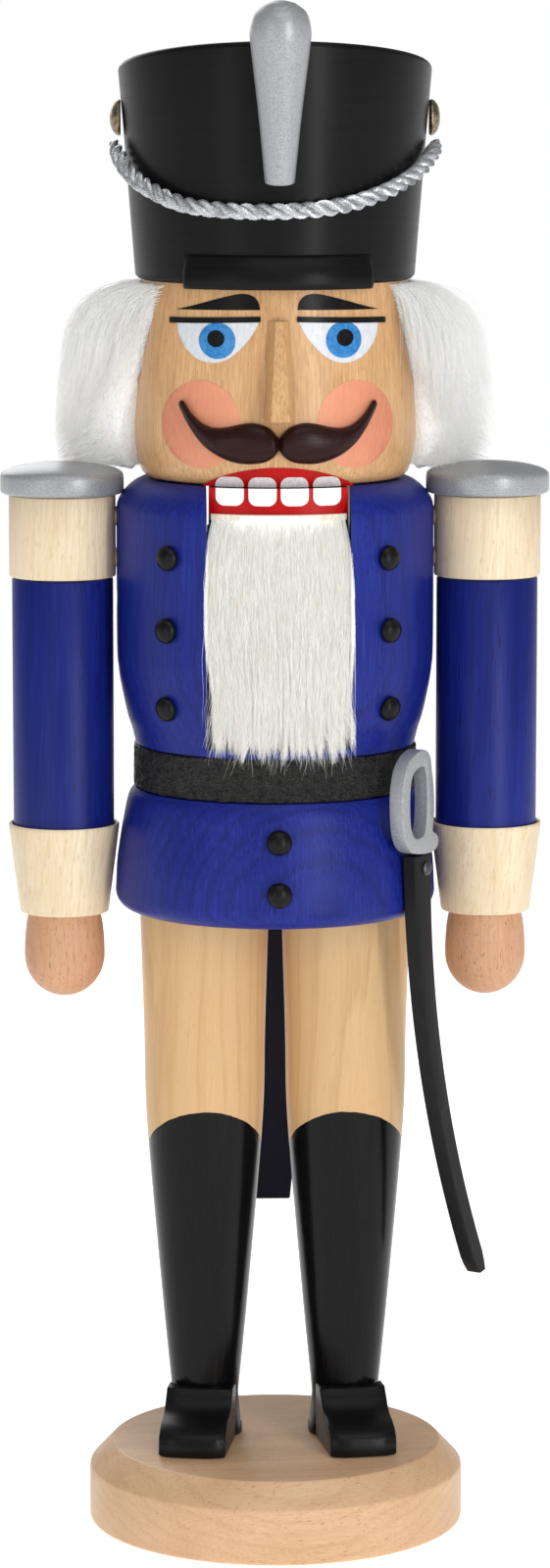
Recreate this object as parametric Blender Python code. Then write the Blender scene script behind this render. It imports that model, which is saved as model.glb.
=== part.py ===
"""A turned-wood soldier nutcracker on a round base, with its jaw and tail lever on a pin.

The figure faces -Y and stands on Z = 0, under the middle of its base. Left and right are the
figure's own, so its left arm and its sabre are at +X.
"""

from math import cos, pi, radians, sin, sqrt, tan

import bmesh
import bpy
from mathutils import Matrix, Vector

MM = 0.001
GAP = 0.3 * MM  # between pieces that touch
BORE = 0.3 * MM  # between a peg and its bore, on the radius

# Base
BASE_R = 48.3 * MM
BASE_TOP_R = 42.3 * MM
BASE_H = 20.5 * MM
BASE_EDGE_Z = 14.2 * MM
FIGURE_Y = 6.0 * MM  # the figure's axis, behind the middle of the base

# Legs and feet
LEG_H = 139.3 * MM  # from the top of the base to the hem
LEG_X = 18.2 * MM
LEG_TOP_R = 16.6 * MM
LEG_KNEE_R = 15.0 * MM
LEG_ANKLE_R = 8.6 * MM
LEG_FLANGE_R = 9.6 * MM
LEG_FLANGE_H = 2.4 * MM
LEG_TENON_R = 8.0 * MM
LEG_TENON_L = 18.0 * MM
LEG_SCREW_R = 1.9 * MM
LEG_SCREW_HEAD_R = 3.8 * MM
LEG_SCREW_L = 32.0 * MM
SCREW_SUNK = 0.6 * MM  # the head's face above the base's underside
FOOT_W = 17.2 * MM
FOOT_REACH = 27.8 * MM  # from the leg's axis to the toe
FOOT_H = 14.0 * MM
FOOT_TOE_H = 7.4 * MM
FOOT_TURN = 8.5  # degrees, toes out

# Torso, as a turned jacket
JACKET_H = 110.8 * MM  # from the hem to the neck
SKIRT_R = 41.0 * MM
SKIRT_CORNER_R = 4.6 * MM
SKIRT_TOP_R = 36.7 * MM
BELT_UP = 31.8 * MM  # the belt's lower edge above the hem
BELT_H = 10.8 * MM
BELT_T = 1.6 * MM
BELT_PROUD = 0.5 * MM
BELT_SEAM = 0.8 * MM
WAIST_R = 35.7 * MM
CHEST_R = 40.4 * MM
CHEST_DROP = 40.7 * MM  # from the neck to where the chest starts to narrow
SHOULDER_DROP = 8.0 * MM
NECK_R = 34.0 * MM

# Slot, lever and jaw
SLOT_HALF = 17.95 * MM
SLOT_DEEP = 65.9 * MM  # down from the neck
JAW_SIDE_GAP = 0.65 * MM
JAW_FRONT_R = 36.2 * MM  # of the rounded front, about the figure's axis
JAW_H = 45.6 * MM  # the front plate, down from the neck
JAW_LIP = 11.0 * MM  # the front wall of the nut seat
SEAT_DEEP = 12.6 * MM  # the nut seat, down from the neck
SEAT_BACK = 4.0 * MM  # past the figure's axis
BAR_DROP = 18.6 * MM  # the bar's top, down from the neck
BAR_T = 24.0 * MM
TAIL_CLEAR = 1.8 * MM
TAIL_T = 9.0 * MM
TAIL_STRAIGHT = 30.0 * MM  # below the bar, before it tapers
TAIL_TAPER_L = 125.3 * MM
TAIL_END_HALF = 5.2 * MM
TAIL_EDGE = 5.0 * MM
PIVOT_DROP = 30.6 * MM  # from the neck
PIN_R = 2.5 * MM
PIN_CLEAR = 0.3 * MM
PIN_SHY = 3.3 * MM  # each end inside the jacket
LIP_H = 6.7 * MM  # the painted lip above the beard
BEARD_L = 58.3 * MM
BEARD_SIDE_GAP = 0.45 * MM  # inside the slot at its widest
BEARD_WIDENS = 0.5 * MM  # each side, from the top down
BEARD_T = 5.0 * MM

# Head
HEAD_NECK_R = 33.3 * MM
HEAD_R = 35.8 * MM
HEAD_H = 50.1 * MM
HEAD_WIDE_UP = 13.4 * MM  # above the neck
HEAD_TOP_R = 33.6 * MM
NECK_DOWEL_IN = 9.0 * MM  # past the side of the slot
NECK_DOWEL_R = 3.0 * MM
NECK_DOWEL_HALF = 11.0 * MM
NOSE_DROP = 8.8 * MM  # below the top of the head
NOSE_H = 24.3 * MM
NOSE_TOP_HALF = 1.7 * MM
NOSE_HALF = 3.6 * MM
NOSE_REACH = 8.5 * MM
MOUSTACHE_HALF = 24.6 * MM
MOUSTACHE_UP = 12.3 * MM  # the pinch in its middle, above the neck
MOUSTACHE_T = 3.4 * MM
HAIR_DROP = 2.1 * MM  # below the top of the head
HAIR_UP = 5.4 * MM  # above the neck
HAIR_OUT = 17.5 * MM  # how far it stands off the head
HAIR_FROM = 64.0  # degrees from the front
# Hat
HAT_R = 35.3 * MM
HAT_TOP_R = 39.5 * MM
HAT_H = 53.4 * MM  # at the axis
HAT_SLANT = 9.0  # degrees, the front higher
HAT_RIM = 1.6 * MM
HAT_DOWEL_R = 4.0 * MM
HAT_DOWEL_HALF = 11.0 * MM
VISOR_HALF_ANGLE = 40.0
VISOR_T = 3.2 * MM
VISOR_DROP = 1.4 * MM  # below the hat's edge
VISOR_H = 8.6 * MM
PLUME_UP = 25.5 * MM  # its foot above the hat's edge
PLUME_H = 43.5 * MM
PLUME_R = 7.5 * MM
PLUME_FOOT_R = 3.7 * MM
PLUME_PIN_R = 1.0 * MM
PLUME_PIN_UP = 13.5 * MM  # above the plume's foot
NAIL_DROP = 13.2 * MM  # below the top of the hat
NAIL_R = 4.6 * MM
NAIL_DOME = 2.4 * MM
NAIL_STAND = 0.8 * MM
NAIL_SHANK_R = 0.9 * MM
NAIL_SHANK_L = 9.0 * MM
CORD_R = 2.1 * MM
CORD_LIFT = 0.5 * MM  # between the cord and the hat

# Arms
ARM_CLEAR = 0.3 * MM  # between the jacket and the arm
CAP_R = 15.7 * MM
CAP_DROP = 4.2 * MM  # the cap's underside below the neck
CAP_EDGE_H = 4.6 * MM
CAP_DOME = 3.4 * MM
CAP_TENON_L = 30.0 * MM
BAND_R = 13.5 * MM
BAND_H = 20.9 * MM
SLEEVE_R = 12.9 * MM
SLEEVE_L = 63.5 * MM  # down to the cuff's rim
CUFF_TOP_R = 14.2 * MM
CUFF_BOTTOM_R = 11.1 * MM
CUFF_H = 23.1 * MM
CUFF_TAPER_IN = 1.6 * MM  # how far the cuff has drawn in at the widest of the skirt
HAND_R = 10.3 * MM
HAND_H = 21.7 * MM
HAND_TENON_L = 31.0 * MM
ARM_TENON_R = 4.0 * MM
ARM_PEG_R = 2.5 * MM
ARM_PEG_DROP = 5.9 * MM  # the upper peg below the cap
ARM_PEG_LIFT = 4.8 * MM  # the lower peg above the band's underside
ARM_PEG_IN = 10.0 * MM  # into the torso
ARM_PEG_OUT = 6.0 * MM  # into the arm

# Buttons
BUTTON_R = 3.2 * MM
BUTTON_DOME = 2.3 * MM
BUTTON_PEG_R = 1.1 * MM
BUTTON_PEG_L = 6.0 * MM
BUTTON_LIFT = 0.35 * MM  # lets the flat back clear the round jacket
CHEST_BUTTON_DROP = (18.0 * MM, 36.2 * MM, 56.1 * MM)  # from the neck
CHEST_BUTTON_ANGLE = (42.3, 43.1, 45.4)
SKIRT_BUTTON_UP = (22.3 * MM, 9.3 * MM)  # from the hem

# Sabre, flat against the skirt on the figure's left
SABRE_ANGLE = 54.5  # from the front
SABRE_CLEAR = 0.5 * MM
GUARD_UP = 17.3 * MM  # the guard's lower edge above the hem
GUARD_H = 26.7 * MM
GUARD_IN = 10.5 * MM  # across the plate, from the line through the figure's axis towards the front
GUARD_OUT = 6.6 * MM  # and away from the front, to the end of the curl
GUARD_T = 4.1 * MM
BLADE_HALF = 3.8 * MM
BLADE_TIP_HALF = 2.5 * MM
BLADE_T = 4.1 * MM
BLADE_L = 113.3 * MM  # the scabbard's height
BLADE_SWEEP = 29.5 * MM
SABRE_NAIL_DROP = 3.7 * MM  # below the guard
SABRE_NAIL_R = 1.8 * MM
SABRE_NAIL_SHANK_R = 0.7 * MM

# Heights that follow from the sizes above
TORSO_BOTTOM_Z = BASE_H + LEG_H
NECK_Z = TORSO_BOTTOM_Z + JACKET_H  # the joint of torso and head, and the line of the mouth
BELT_BOTTOM_Z = TORSO_BOTTOM_Z + BELT_UP
BELT_TOP_Z = BELT_BOTTOM_Z + BELT_H
CHEST_Z = NECK_Z - CHEST_DROP
SHOULDER_Z = NECK_Z - SHOULDER_DROP
SLOT_BOTTOM_Z = NECK_Z - SLOT_DEEP
JAW_BOTTOM_Z = NECK_Z - JAW_H
SEAT_FLOOR_Z = NECK_Z - SEAT_DEEP
BAR_TOP_Z = NECK_Z - BAR_DROP
BAR_BOTTOM_Z = BAR_TOP_Z - BAR_T
TAIL_TAPER_Z = BAR_BOTTOM_Z - TAIL_STRAIGHT
TAIL_BOTTOM_Z = TAIL_TAPER_Z - TAIL_TAPER_L
PIVOT_Z = NECK_Z - PIVOT_DROP
BEARD_TOP_Z = NECK_Z - LIP_H
BEARD_BOTTOM_Z = BEARD_TOP_Z - BEARD_L
HEAD_TOP_Z = NECK_Z + HEAD_H
HEAD_WIDE_Z = NECK_Z + HEAD_WIDE_UP
NOSE_TOP_Z = HEAD_TOP_Z - NOSE_DROP
NOSE_BOTTOM_Z = NOSE_TOP_Z - NOSE_H
HAIR_TOP_Z = HEAD_TOP_Z - HAIR_DROP
HAIR_BOTTOM_Z = NECK_Z + HAIR_UP
HAT_BOTTOM_Z = HEAD_TOP_Z + GAP
HAT_TOP_Z = HAT_BOTTOM_Z + HAT_H
PLUME_BOTTOM_Z = HAT_BOTTOM_Z + PLUME_UP
PLUME_TOP_Z = PLUME_BOTTOM_Z + PLUME_H
PLUME_PIN_Z = PLUME_BOTTOM_Z + PLUME_PIN_UP
NAIL_Z = HAT_TOP_Z - NAIL_DROP
CAP_BOTTOM_Z = NECK_Z - CAP_DROP
BAND_TOP_Z = CAP_BOTTOM_Z - GAP
BAND_BOTTOM_Z = BAND_TOP_Z - BAND_H
CUFF_TOP_Z = BAND_BOTTOM_Z - SLEEVE_L
CUFF_BOTTOM_Z = CUFF_TOP_Z - CUFF_H
HAND_TOP_Z = CUFF_BOTTOM_Z - GAP
HAND_BOTTOM_Z = HAND_TOP_Z - HAND_H
ARM_PEG_UPPER_Z = CAP_BOTTOM_Z - ARM_PEG_DROP
ARM_PEG_LOWER_Z = BAND_BOTTOM_Z + ARM_PEG_LIFT
GUARD_BOTTOM_Z = TORSO_BOTTOM_Z + GUARD_UP
GUARD_TOP_Z = GUARD_BOTTOM_Z + GUARD_H
BLADE_TOP_Z = GUARD_BOTTOM_Z - GAP
BLADE_TIP_Z = BLADE_TOP_Z - BLADE_L
SABRE_NAIL_Z = GUARD_BOTTOM_Z - SABRE_NAIL_DROP
BELT_OUT_R = WAIST_R + BELT_PROUD
GROOVE_R = BELT_OUT_R - BELT_T - GAP
ARM_X = max(CHEST_R + BAND_R, SKIRT_R + CUFF_TOP_R - CUFF_TAPER_IN) + ARM_CLEAR
NECK_DOWEL_X = SLOT_HALF + NECK_DOWEL_IN
PIN_HALF = CHEST_R - PIN_SHY
BEARD_HALF = SLOT_HALF - BEARD_SIDE_GAP
BEARD_TOP_HALF = BEARD_HALF - BEARD_WIDENS
SABRE_BACK = SKIRT_R + SABRE_CLEAR  # the plate's inner face, from the figure's axis

ROUND = 24  # sides of the turned arm pieces
SMALL = 16  # sides of the small ones


# ---------------------------------------------------------------- tools

def material(name, colour, roughness, metallic=0.0):
    m = bpy.data.materials.get(name)
    if m is None:
        m = bpy.data.materials.new(name)
        m.use_nodes = True
        shader = m.node_tree.nodes["Principled BSDF"]
        shader.inputs["Base Color"].default_value = (*colour, 1.0)
        shader.inputs["Roughness"].default_value = roughness
        shader.inputs["Metallic"].default_value = metallic
    return m


def piece(name, bm, finish, smooth=True):
    """Turn a bmesh into a named object with its material."""
    bmesh.ops.remove_doubles(bm, verts=bm.verts, dist=1e-6)
    bmesh.ops.recalc_face_normals(bm, faces=bm.faces)
    mesh = bpy.data.meshes.new(name)
    bm.to_mesh(mesh)
    bm.free()
    o = bpy.data.objects.new(name, mesh)
    bpy.context.collection.objects.link(o)
    if finish:
        mesh.materials.append(finish)
    if smooth:
        mesh.shade_smooth()
        mesh.set_sharp_from_angle(angle=radians(35))
    return o


def turned_bm(profile, sides, at=(0, 0)):
    """Spin a profile of (radius, z) points about the vertical line through at."""
    bm = bmesh.new()
    verts = [bm.verts.new((at[0] + r, at[1], z)) for r, z in profile]
    edges = [bm.edges.new(pair) for pair in zip(verts, verts[1:])]
    bmesh.ops.spin(bm, geom=verts + edges, cent=(at[0], at[1], 0), axis=(0, 0, 1),
                   angle=2 * pi, steps=sides, use_merge=True)
    return bm


def turned(name, profile, finish, sides=ROUND, at=(0, 0)):
    return piece(name, turned_bm(profile, sides, at), finish)


def rod_bm(radius, start, end, sides=SMALL):
    """A plain round rod between two points."""
    a, b = Vector(start), Vector(end)
    bm = bmesh.new()
    place = Matrix.Translation((a + b) / 2) @ (b - a).to_track_quat("Z", "Y").to_matrix().to_4x4()
    bmesh.ops.create_cone(bm, cap_ends=True, segments=sides, radius1=radius, radius2=radius,
                          depth=(b - a).length, matrix=place)
    return bm


def rod(name, radius, start, end, finish, sides=SMALL):
    return piece(name, rod_bm(radius, start, end, sides), finish)


def stud(name, profile, base, direction, finish, sides=SMALL):
    """A turned piece whose axis runs from base along direction."""
    bm = turned_bm(profile, sides)
    turn = Vector(direction).to_track_quat("Z", "Y").to_matrix().to_4x4()
    bm.transform(Matrix.Translation(base) @ turn)
    return piece(name, bm, finish)


def loft(name, rings, finish, smooth=True):
    """Join rings of points into one closed skin with flat ends."""
    bm = bmesh.new()
    rows = [[bm.verts.new(p) for p in ring] for ring in rings]
    n = len(rows[0])
    for a, b in zip(rows, rows[1:]):
        for i in range(n):
            j = (i + 1) % n
            bm.faces.new((a[i], a[j], b[j], b[i]))
    bm.faces.new(rows[0])
    bm.faces.new(reversed(rows[-1]))
    return piece(name, bm, finish, smooth)


def cut(target, bm, name):
    """Take the shape in bm away from the target."""
    tool = piece(name, bm, None, smooth=False)
    tool.hide_render = True
    tool.display_type = "WIRE"
    change = target.modifiers.new(name, "BOOLEAN")
    change.operation = "DIFFERENCE"
    change.object = tool


def box_bm(low, high):
    bm = bmesh.new()
    size = Vector(high) - Vector(low)
    middle = (Vector(high) + Vector(low)) / 2
    bmesh.ops.create_cube(bm, size=1.0, matrix=Matrix.Translation(middle) @ Matrix.Diagonal((*size, 1)))
    return bm


def arc(centre, radius, start, end, steps):
    """Points of an arc in (radius, z), the angles in degrees from outwards to up."""
    out = []
    for i in range(steps + 1):
        a = radians(start + (end - start) * i / steps)
        out.append((centre[0] + radius * cos(a), centre[1] + radius * sin(a)))
    return out


def smooth_line(points, steps):
    """Points of a smooth curve through the given ones."""
    p = [Vector(q) for q in points]
    p = [2 * p[0] - p[1], *p, 2 * p[-1] - p[-2]]
    out = []
    for a, b, c, d in zip(p, p[1:], p[2:], p[3:]):
        for i in range(steps):
            t = i / steps
            out.append(0.5 * (2 * b + (c - a) * t + (2 * a - 5 * b + 4 * c - d) * t ** 2
                              + (3 * b - a - 3 * c + d) * t ** 3))
    return out + [p[-2]]


def around(radius, angle, z):
    """A point at a radius from the figure's axis, the angle in degrees from the front to +X."""
    a = radians(angle)
    return Vector((radius * sin(a), FIGURE_Y - radius * cos(a), z))


def outward(angle):
    a = radians(angle)
    return Vector((sin(a), -cos(a), 0))


# ---------------------------------------------------------------- materials

BLUE = material("jacket_blue", (0.012, 0.028, 0.19), 0.38)
BEECH = material("beech", (0.78, 0.58, 0.36), 0.42)
SKIN = material("skin_wood", (0.62, 0.38, 0.19), 0.45)
HONEY = material("honey_wood", (0.76, 0.55, 0.32), 0.4)
MAPLE = material("maple", (0.78, 0.66, 0.48), 0.45)
HAND = material("hand_wood", (0.6, 0.33, 0.18), 0.5)
BLACK = material("black_lacquer", (0.01, 0.01, 0.01), 0.25)
SILVER = material("silver_paint", (0.42, 0.43, 0.44), 0.4, 0.5)
FUR = material("white_fur", (0.85, 0.85, 0.83), 0.9)
BROWN = material("moustache_brown", (0.04, 0.012, 0.01), 0.35)
LEATHER = material("black_leather", (0.012, 0.012, 0.012), 0.5)
STEEL = material("steel", (0.5, 0.5, 0.5), 0.35, 1.0)
BRONZE = material("dark_bronze", (0.2, 0.16, 0.12), 0.3, 1.0)
TINSEL = material("silver_cord", (0.6, 0.6, 0.62), 0.35, 0.8)


# ---------------------------------------------------------------- base, legs and feet

def leg_radius_line():
    """The leg from its top down to the flange, as (radius, z)."""
    top = TORSO_BOTTOM_Z - GAP
    low = BASE_H + GAP + LEG_FLANGE_H
    span = top - low
    thigh = LEG_TOP_R * 0.4 + LEG_KNEE_R * 0.6
    calf = LEG_KNEE_R * 0.45 + LEG_ANKLE_R * 0.55
    return smooth_line([(LEG_TOP_R, top), (thigh, low + span * 0.77), (LEG_KNEE_R, low + span * 0.59),
                        (calf, low + span * 0.28), (LEG_ANKLE_R, low + span * 0.06)], 3)


def make_base():
    base = turned("base_plate", [(0, 0), (BASE_R - MM, 0), (BASE_R, MM), (BASE_R, BASE_EDGE_Z),
                                 (BASE_TOP_R, BASE_H), (0, BASE_H)], BEECH, sides=40)
    for side in (-1, 1):
        x = side * LEG_X
        hole = LEG_SCREW_R + BORE
        head = LEG_SCREW_HEAD_R + BORE
        seat = SCREW_SUNK + 2 * GAP
        profile = [(0, -MM), (head, -MM), (head, seat), (hole, seat + head - hole), (hole, BASE_H + MM),
                   (0, BASE_H + MM)]
        cut(base, turned_bm(profile, SMALL, (x, FIGURE_Y)), f"screw_hole_{side}")


def make_leg(side, name):
    x = side * LEG_X
    top = TORSO_BOTTOM_Z - GAP
    foot = BASE_H + GAP
    line = [tuple(p) for p in leg_radius_line()]
    profile = [(0, top + LEG_TENON_L), (LEG_TENON_R - 0.6 * MM, top + LEG_TENON_L),
               (LEG_TENON_R, top + LEG_TENON_L - 0.6 * MM), (LEG_TENON_R, top), *line,
               (LEG_FLANGE_R, foot + LEG_FLANGE_H), (LEG_FLANGE_R, foot), (0, foot)]
    leg = turned(f"leg_{name}", profile, HONEY, sides=22, at=(x, FIGURE_Y))
    depth = LEG_SCREW_L + 2 * MM
    cut(leg, rod_bm(LEG_SCREW_R + BORE, (x, FIGURE_Y, 0), (x, FIGURE_Y, depth), 12), f"leg_bore_{name}")
    head = LEG_SCREW_HEAD_R
    low = SCREW_SUNK
    rim = low + 0.3 * MM
    screw = [(0, low), (head - 0.3 * MM, low), (head, rim), (LEG_SCREW_R, rim + head - LEG_SCREW_R),
             (LEG_SCREW_R, LEG_SCREW_L - 4 * MM), (0, LEG_SCREW_L)]
    turned(f"leg_screw_{name}", screw, STEEL, sides=12, at=(x, FIGURE_Y))


def make_foot(side, name):
    """A block whose back cups the leg, flat on top and sloping down to a round toe."""
    low = BASE_H + GAP
    back = LEG_FLANGE_R * 0.3
    toe = FOOT_REACH
    flat_end = LEG_FLANGE_R + 1.4 * MM
    top = low + FOOT_H
    nose = low + FOOT_TOE_H
    upper = smooth_line([(flat_end, top), (flat_end + 2.4 * MM, top - 2.2 * MM),
                         (flat_end + 6.0 * MM, top - 5.0 * MM), (toe - 4.4 * MM, nose - 0.2 * MM),
                         (toe - 1.0 * MM, nose - 2.2 * MM), (toe, low + FOOT_TOE_H * 0.4)], 2)
    side_line = [(back, low), (back, top), *[tuple(p) for p in upper], (toe, low)]
    rings = []
    for across in (-1, -0.93, -0.5, 0, 0.5, 0.93, 1):
        shy = 1.5 * MM * across ** 4
        rings.append([(across * FOOT_W / 2, -(r - shy * (r - back) / (toe - back)), z)
                      for r, z in side_line])
    foot = loft(f"foot_{name}", rings, BLACK)
    foot.location = (side * LEG_X, FIGURE_Y, 0)
    foot.rotation_euler = (0, 0, side * radians(FOOT_TURN))
    hollow = turned_bm([(0, low - MM), (LEG_FLANGE_R + GAP, low - MM), (LEG_FLANGE_R + GAP, top + MM),
                        (0, top + MM)], 28, (side * LEG_X, FIGURE_Y))
    cut(foot, hollow, f"foot_cup_{name}")


# ---------------------------------------------------------------- torso, belt and buttons

def torso_line():
    """The jacket's outside from the hem up to the neck, as (radius, z)."""
    corner = SKIRT_CORNER_R
    skirt = smooth_line([(SKIRT_R, TORSO_BOTTOM_Z + corner), (SKIRT_R * 0.985, TORSO_BOTTOM_Z + 14 * MM),
                         (SKIRT_R * 0.3 + SKIRT_TOP_R * 0.7, BELT_BOTTOM_Z - 4.0 * MM),
                         (SKIRT_TOP_R - 0.5 * MM, BELT_BOTTOM_Z - GAP)], 3)
    shares = ((0, 0), (0.21, 0.15), (0.42, 0.26), (0.7, 0.48), (0.91, 0.7), (1, 1))
    chest = smooth_line([(WAIST_R + (CHEST_R - WAIST_R) * out,
                          BELT_TOP_Z + GAP + (CHEST_Z - BELT_TOP_Z - GAP) * up) for out, up in shares]
                        + [(CHEST_R, SHOULDER_Z)], 2)
    rounding = [(NECK_R + (CHEST_R - NECK_R) * out, SHOULDER_Z + SHOULDER_DROP * up)
                for out, up in ((0.89, 0.35), (0.48, 0.75))]
    return ([(0, TORSO_BOTTOM_Z)] + arc((SKIRT_R - corner, TORSO_BOTTOM_Z + corner), corner, -90, 0, 4)
            + [tuple(p) for p in skirt[1:]] + [(GROOVE_R, BELT_BOTTOM_Z - GAP), (GROOVE_R, BELT_TOP_Z + GAP)]
            + [tuple(p) for p in chest] + rounding + [(NECK_R, NECK_Z - GAP / 2), (0, NECK_Z - GAP / 2)])


def torso_radius(z):
    """The jacket's radius at a height outside the belt."""
    line = torso_line()
    for (r0, z0), (r1, z1) in zip(line, line[1:]):
        if z1 > z0 and z0 <= z <= z1:
            return r0 + (r1 - r0) * (z - z0) / (z1 - z0)
    return CHEST_R


def button_places():
    places = []
    for drop, angle in zip(CHEST_BUTTON_DROP, CHEST_BUTTON_ANGLE):
        places += [(-angle, NECK_Z - drop), (angle, NECK_Z - drop)]
    return places + [(0.0, TORSO_BOTTOM_Z + up) for up in SKIRT_BUTTON_UP]


def button_seat(angle, z):
    """Where a button meets the jacket, and the way it points."""
    slope = (torso_radius(z + MM) - torso_radius(z - MM)) / (2 * MM)
    way = (outward(angle) - Vector((0, 0, slope))).normalized()
    return around(torso_radius(z), angle, z), way


def make_torso():
    torso = turned("torso", torso_line(), BLUE, sides=40, at=(0, FIGURE_Y))
    far = SKIRT_R + 20 * MM
    cut(torso, box_bm((-SLOT_HALF, FIGURE_Y - far, SLOT_BOTTOM_Z), (SLOT_HALF, FIGURE_Y + far, NECK_Z + MM)),
        "slot")
    cut(torso, rod_bm(PIN_R + BORE, (-far, FIGURE_Y, PIVOT_Z), (far, FIGURE_Y, PIVOT_Z)), "pin_bore")
    for side in (-1, 1):
        place = Vector((side * LEG_X, FIGURE_Y, TORSO_BOTTOM_Z))
        cut(torso, rod_bm(LEG_TENON_R + BORE, place - Vector((0, 0, MM)),
                          place + Vector((0, 0, LEG_TENON_L + MM)), 20), f"leg_socket_{side}")
        place = Vector((side * NECK_DOWEL_X, FIGURE_Y, NECK_Z))
        cut(torso, rod_bm(NECK_DOWEL_R + BORE, place - Vector((0, 0, NECK_DOWEL_HALF + MM)),
                          place + Vector((0, 0, MM)), 12), f"neck_socket_{side}")
        for z in (ARM_PEG_UPPER_Z, ARM_PEG_LOWER_Z):
            cut(torso, rod_bm(ARM_PEG_R + BORE, (side * (CHEST_R - ARM_PEG_IN - MM), FIGURE_Y, z),
                              (side * far, FIGURE_Y, z), 12), f"arm_socket_{side}_{z:.3f}")
    for i, (angle, z) in enumerate(button_places()):
        seat, way = button_seat(angle, z)
        deep = seat - way * (BUTTON_PEG_L + MM)
        cut(torso, rod_bm(BUTTON_PEG_R + BORE, deep, seat + way * BUTTON_PEG_L, 8), f"button_bore_{i}")
    start, end = sabre_point(0, SABRE_NAIL_Z, -7 * MM), sabre_point(0, SABRE_NAIL_Z, 10 * MM)
    cut(torso, rod_bm(SABRE_NAIL_SHANK_R + BORE, start, end, 8), "sabre_nail_bore")


def make_belt():
    """A leather strip that runs round from one side of the back seam to the other."""
    inner = GROOVE_R + GAP
    low, high = BELT_BOTTOM_Z, BELT_TOP_Z
    half_seam = BELT_SEAM / 2 / BELT_OUT_R * 180 / pi
    rings = []
    steps = 36
    for i in range(steps + 1):
        a = -180 + half_seam + (360 - 2 * half_seam) * i / steps
        rings.append([around(inner, a, low), around(BELT_OUT_R - 0.4 * MM, a, low),
                      around(BELT_OUT_R, a, low + 0.5 * MM), around(BELT_OUT_R, a, high - 0.5 * MM),
                      around(BELT_OUT_R - 0.4 * MM, a, high), around(inner, a, high)])
    loft("belt", rings, LEATHER)


def make_buttons():
    dome = [(BUTTON_R * cos(radians(a)), BUTTON_DOME * sin(radians(a))) for a in (70, 45, 20, 0)]
    profile = [(0, BUTTON_DOME), *dome, (BUTTON_R * 0.94, -0.25 * MM), (BUTTON_PEG_R, -0.25 * MM),
               (BUTTON_PEG_R, -BUTTON_PEG_L), (0, -BUTTON_PEG_L)]
    for i, (angle, z) in enumerate(button_places(), 1):
        seat, way = button_seat(angle, z)
        stud(f"button_{i}", profile, seat + way * (BUTTON_LIFT + GAP), way, BLACK, sides=14)


# ---------------------------------------------------------------- head

def head_radius(z):
    """The barrel of the head, widest low down."""
    if z < HEAD_WIDE_Z:
        t = (HEAD_WIDE_Z - z) / (HEAD_WIDE_Z - NECK_Z)
        return HEAD_R - (HEAD_R - HEAD_NECK_R) * t ** 2
    t = (z - HEAD_WIDE_Z) / (HEAD_TOP_Z - HEAD_WIDE_Z)
    return HEAD_R - (HEAD_R - HEAD_TOP_R) * t ** 1.6


def make_head():
    low = NECK_Z + GAP / 2
    heights = [low + 1.6 * MM, low + 4 * MM, low + 8 * MM, HEAD_WIDE_Z]
    heights += [HEAD_WIDE_Z + (HEAD_TOP_Z - HEAD_WIDE_Z) * t for t in (0.25, 0.45, 0.65, 0.85, 1.0)]
    profile = [(0, low), (HEAD_NECK_R - 2.2 * MM, low), (HEAD_NECK_R - 0.6 * MM, low + 0.5 * MM)]
    profile += [(head_radius(z), z) for z in heights] + [(0, HEAD_TOP_Z)]
    head = turned("head", profile, SKIN, sides=36, at=(0, FIGURE_Y))
    for side, name in ((-1, "right"), (1, "left")):
        place = Vector((side * NECK_DOWEL_X, FIGURE_Y, NECK_Z))
        up = Vector((0, 0, NECK_DOWEL_HALF))
        socket = rod_bm(NECK_DOWEL_R + BORE, place - Vector((0, 0, MM)), place + up + Vector((0, 0, MM)), 12)
        cut(head, socket, f"head_socket_{name}")
        rod(f"neck_dowel_{name}", NECK_DOWEL_R, place - up, place + up, BEECH, 12)
    place = Vector((0, FIGURE_Y, HEAD_TOP_Z + GAP / 2))
    up = Vector((0, 0, HAT_DOWEL_HALF))
    cut(head, rod_bm(HAT_DOWEL_R + BORE, place - up - Vector((0, 0, MM)), place + Vector((0, 0, MM)), 12),
        "hat_dowel_socket")
    rod("hat_dowel", HAT_DOWEL_R, place - up, place + up, BEECH, 12)


def make_nose():
    """A wedge with two side facets and a narrow front one."""
    rings = []
    for t in (0.0, 0.35, 0.75, 1.0):
        z = NOSE_TOP_Z + (NOSE_BOTTOM_Z - NOSE_TOP_Z) * t
        half = NOSE_TOP_HALF + (NOSE_HALF - NOSE_TOP_HALF) * t ** 1.3
        front_half = 0.5 * MM + 1.5 * MM * t
        back = FIGURE_Y - head_radius(z) - GAP
        front = back - 0.9 * MM - (NOSE_REACH - 0.9 * MM) * t
        rings.append([(-half, back, z), (-half, back - 0.5 * MM, z),
                      (-front_half, front, z), (front_half, front, z), (half, back - 0.5 * MM, z),
                      (half, back, z)])
    loft("nose", rings, SKIN, smooth=False)


def moustache_edges():
    """Upper and lower edge of the right half, as (x, z) from the middle to the tip."""
    upper = [(0, 0), (0.08, 2.4), (0.26, 3.9), (0.47, 3.3), (0.67, 2.5), (0.83, 4.5), (0.99, 8.7)]
    lower = [(0, -3.0), (0.08, -5.3), (0.26, -6.3), (0.47, -5.9), (0.67, -3.2), (0.83, 1.3), (1.0, 8.1)]
    middle = NECK_Z + MOUSTACHE_UP
    return tuple([(x * MOUSTACHE_HALF, middle + z * MM) for x, z in edge] for edge in (upper, lower))


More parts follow.
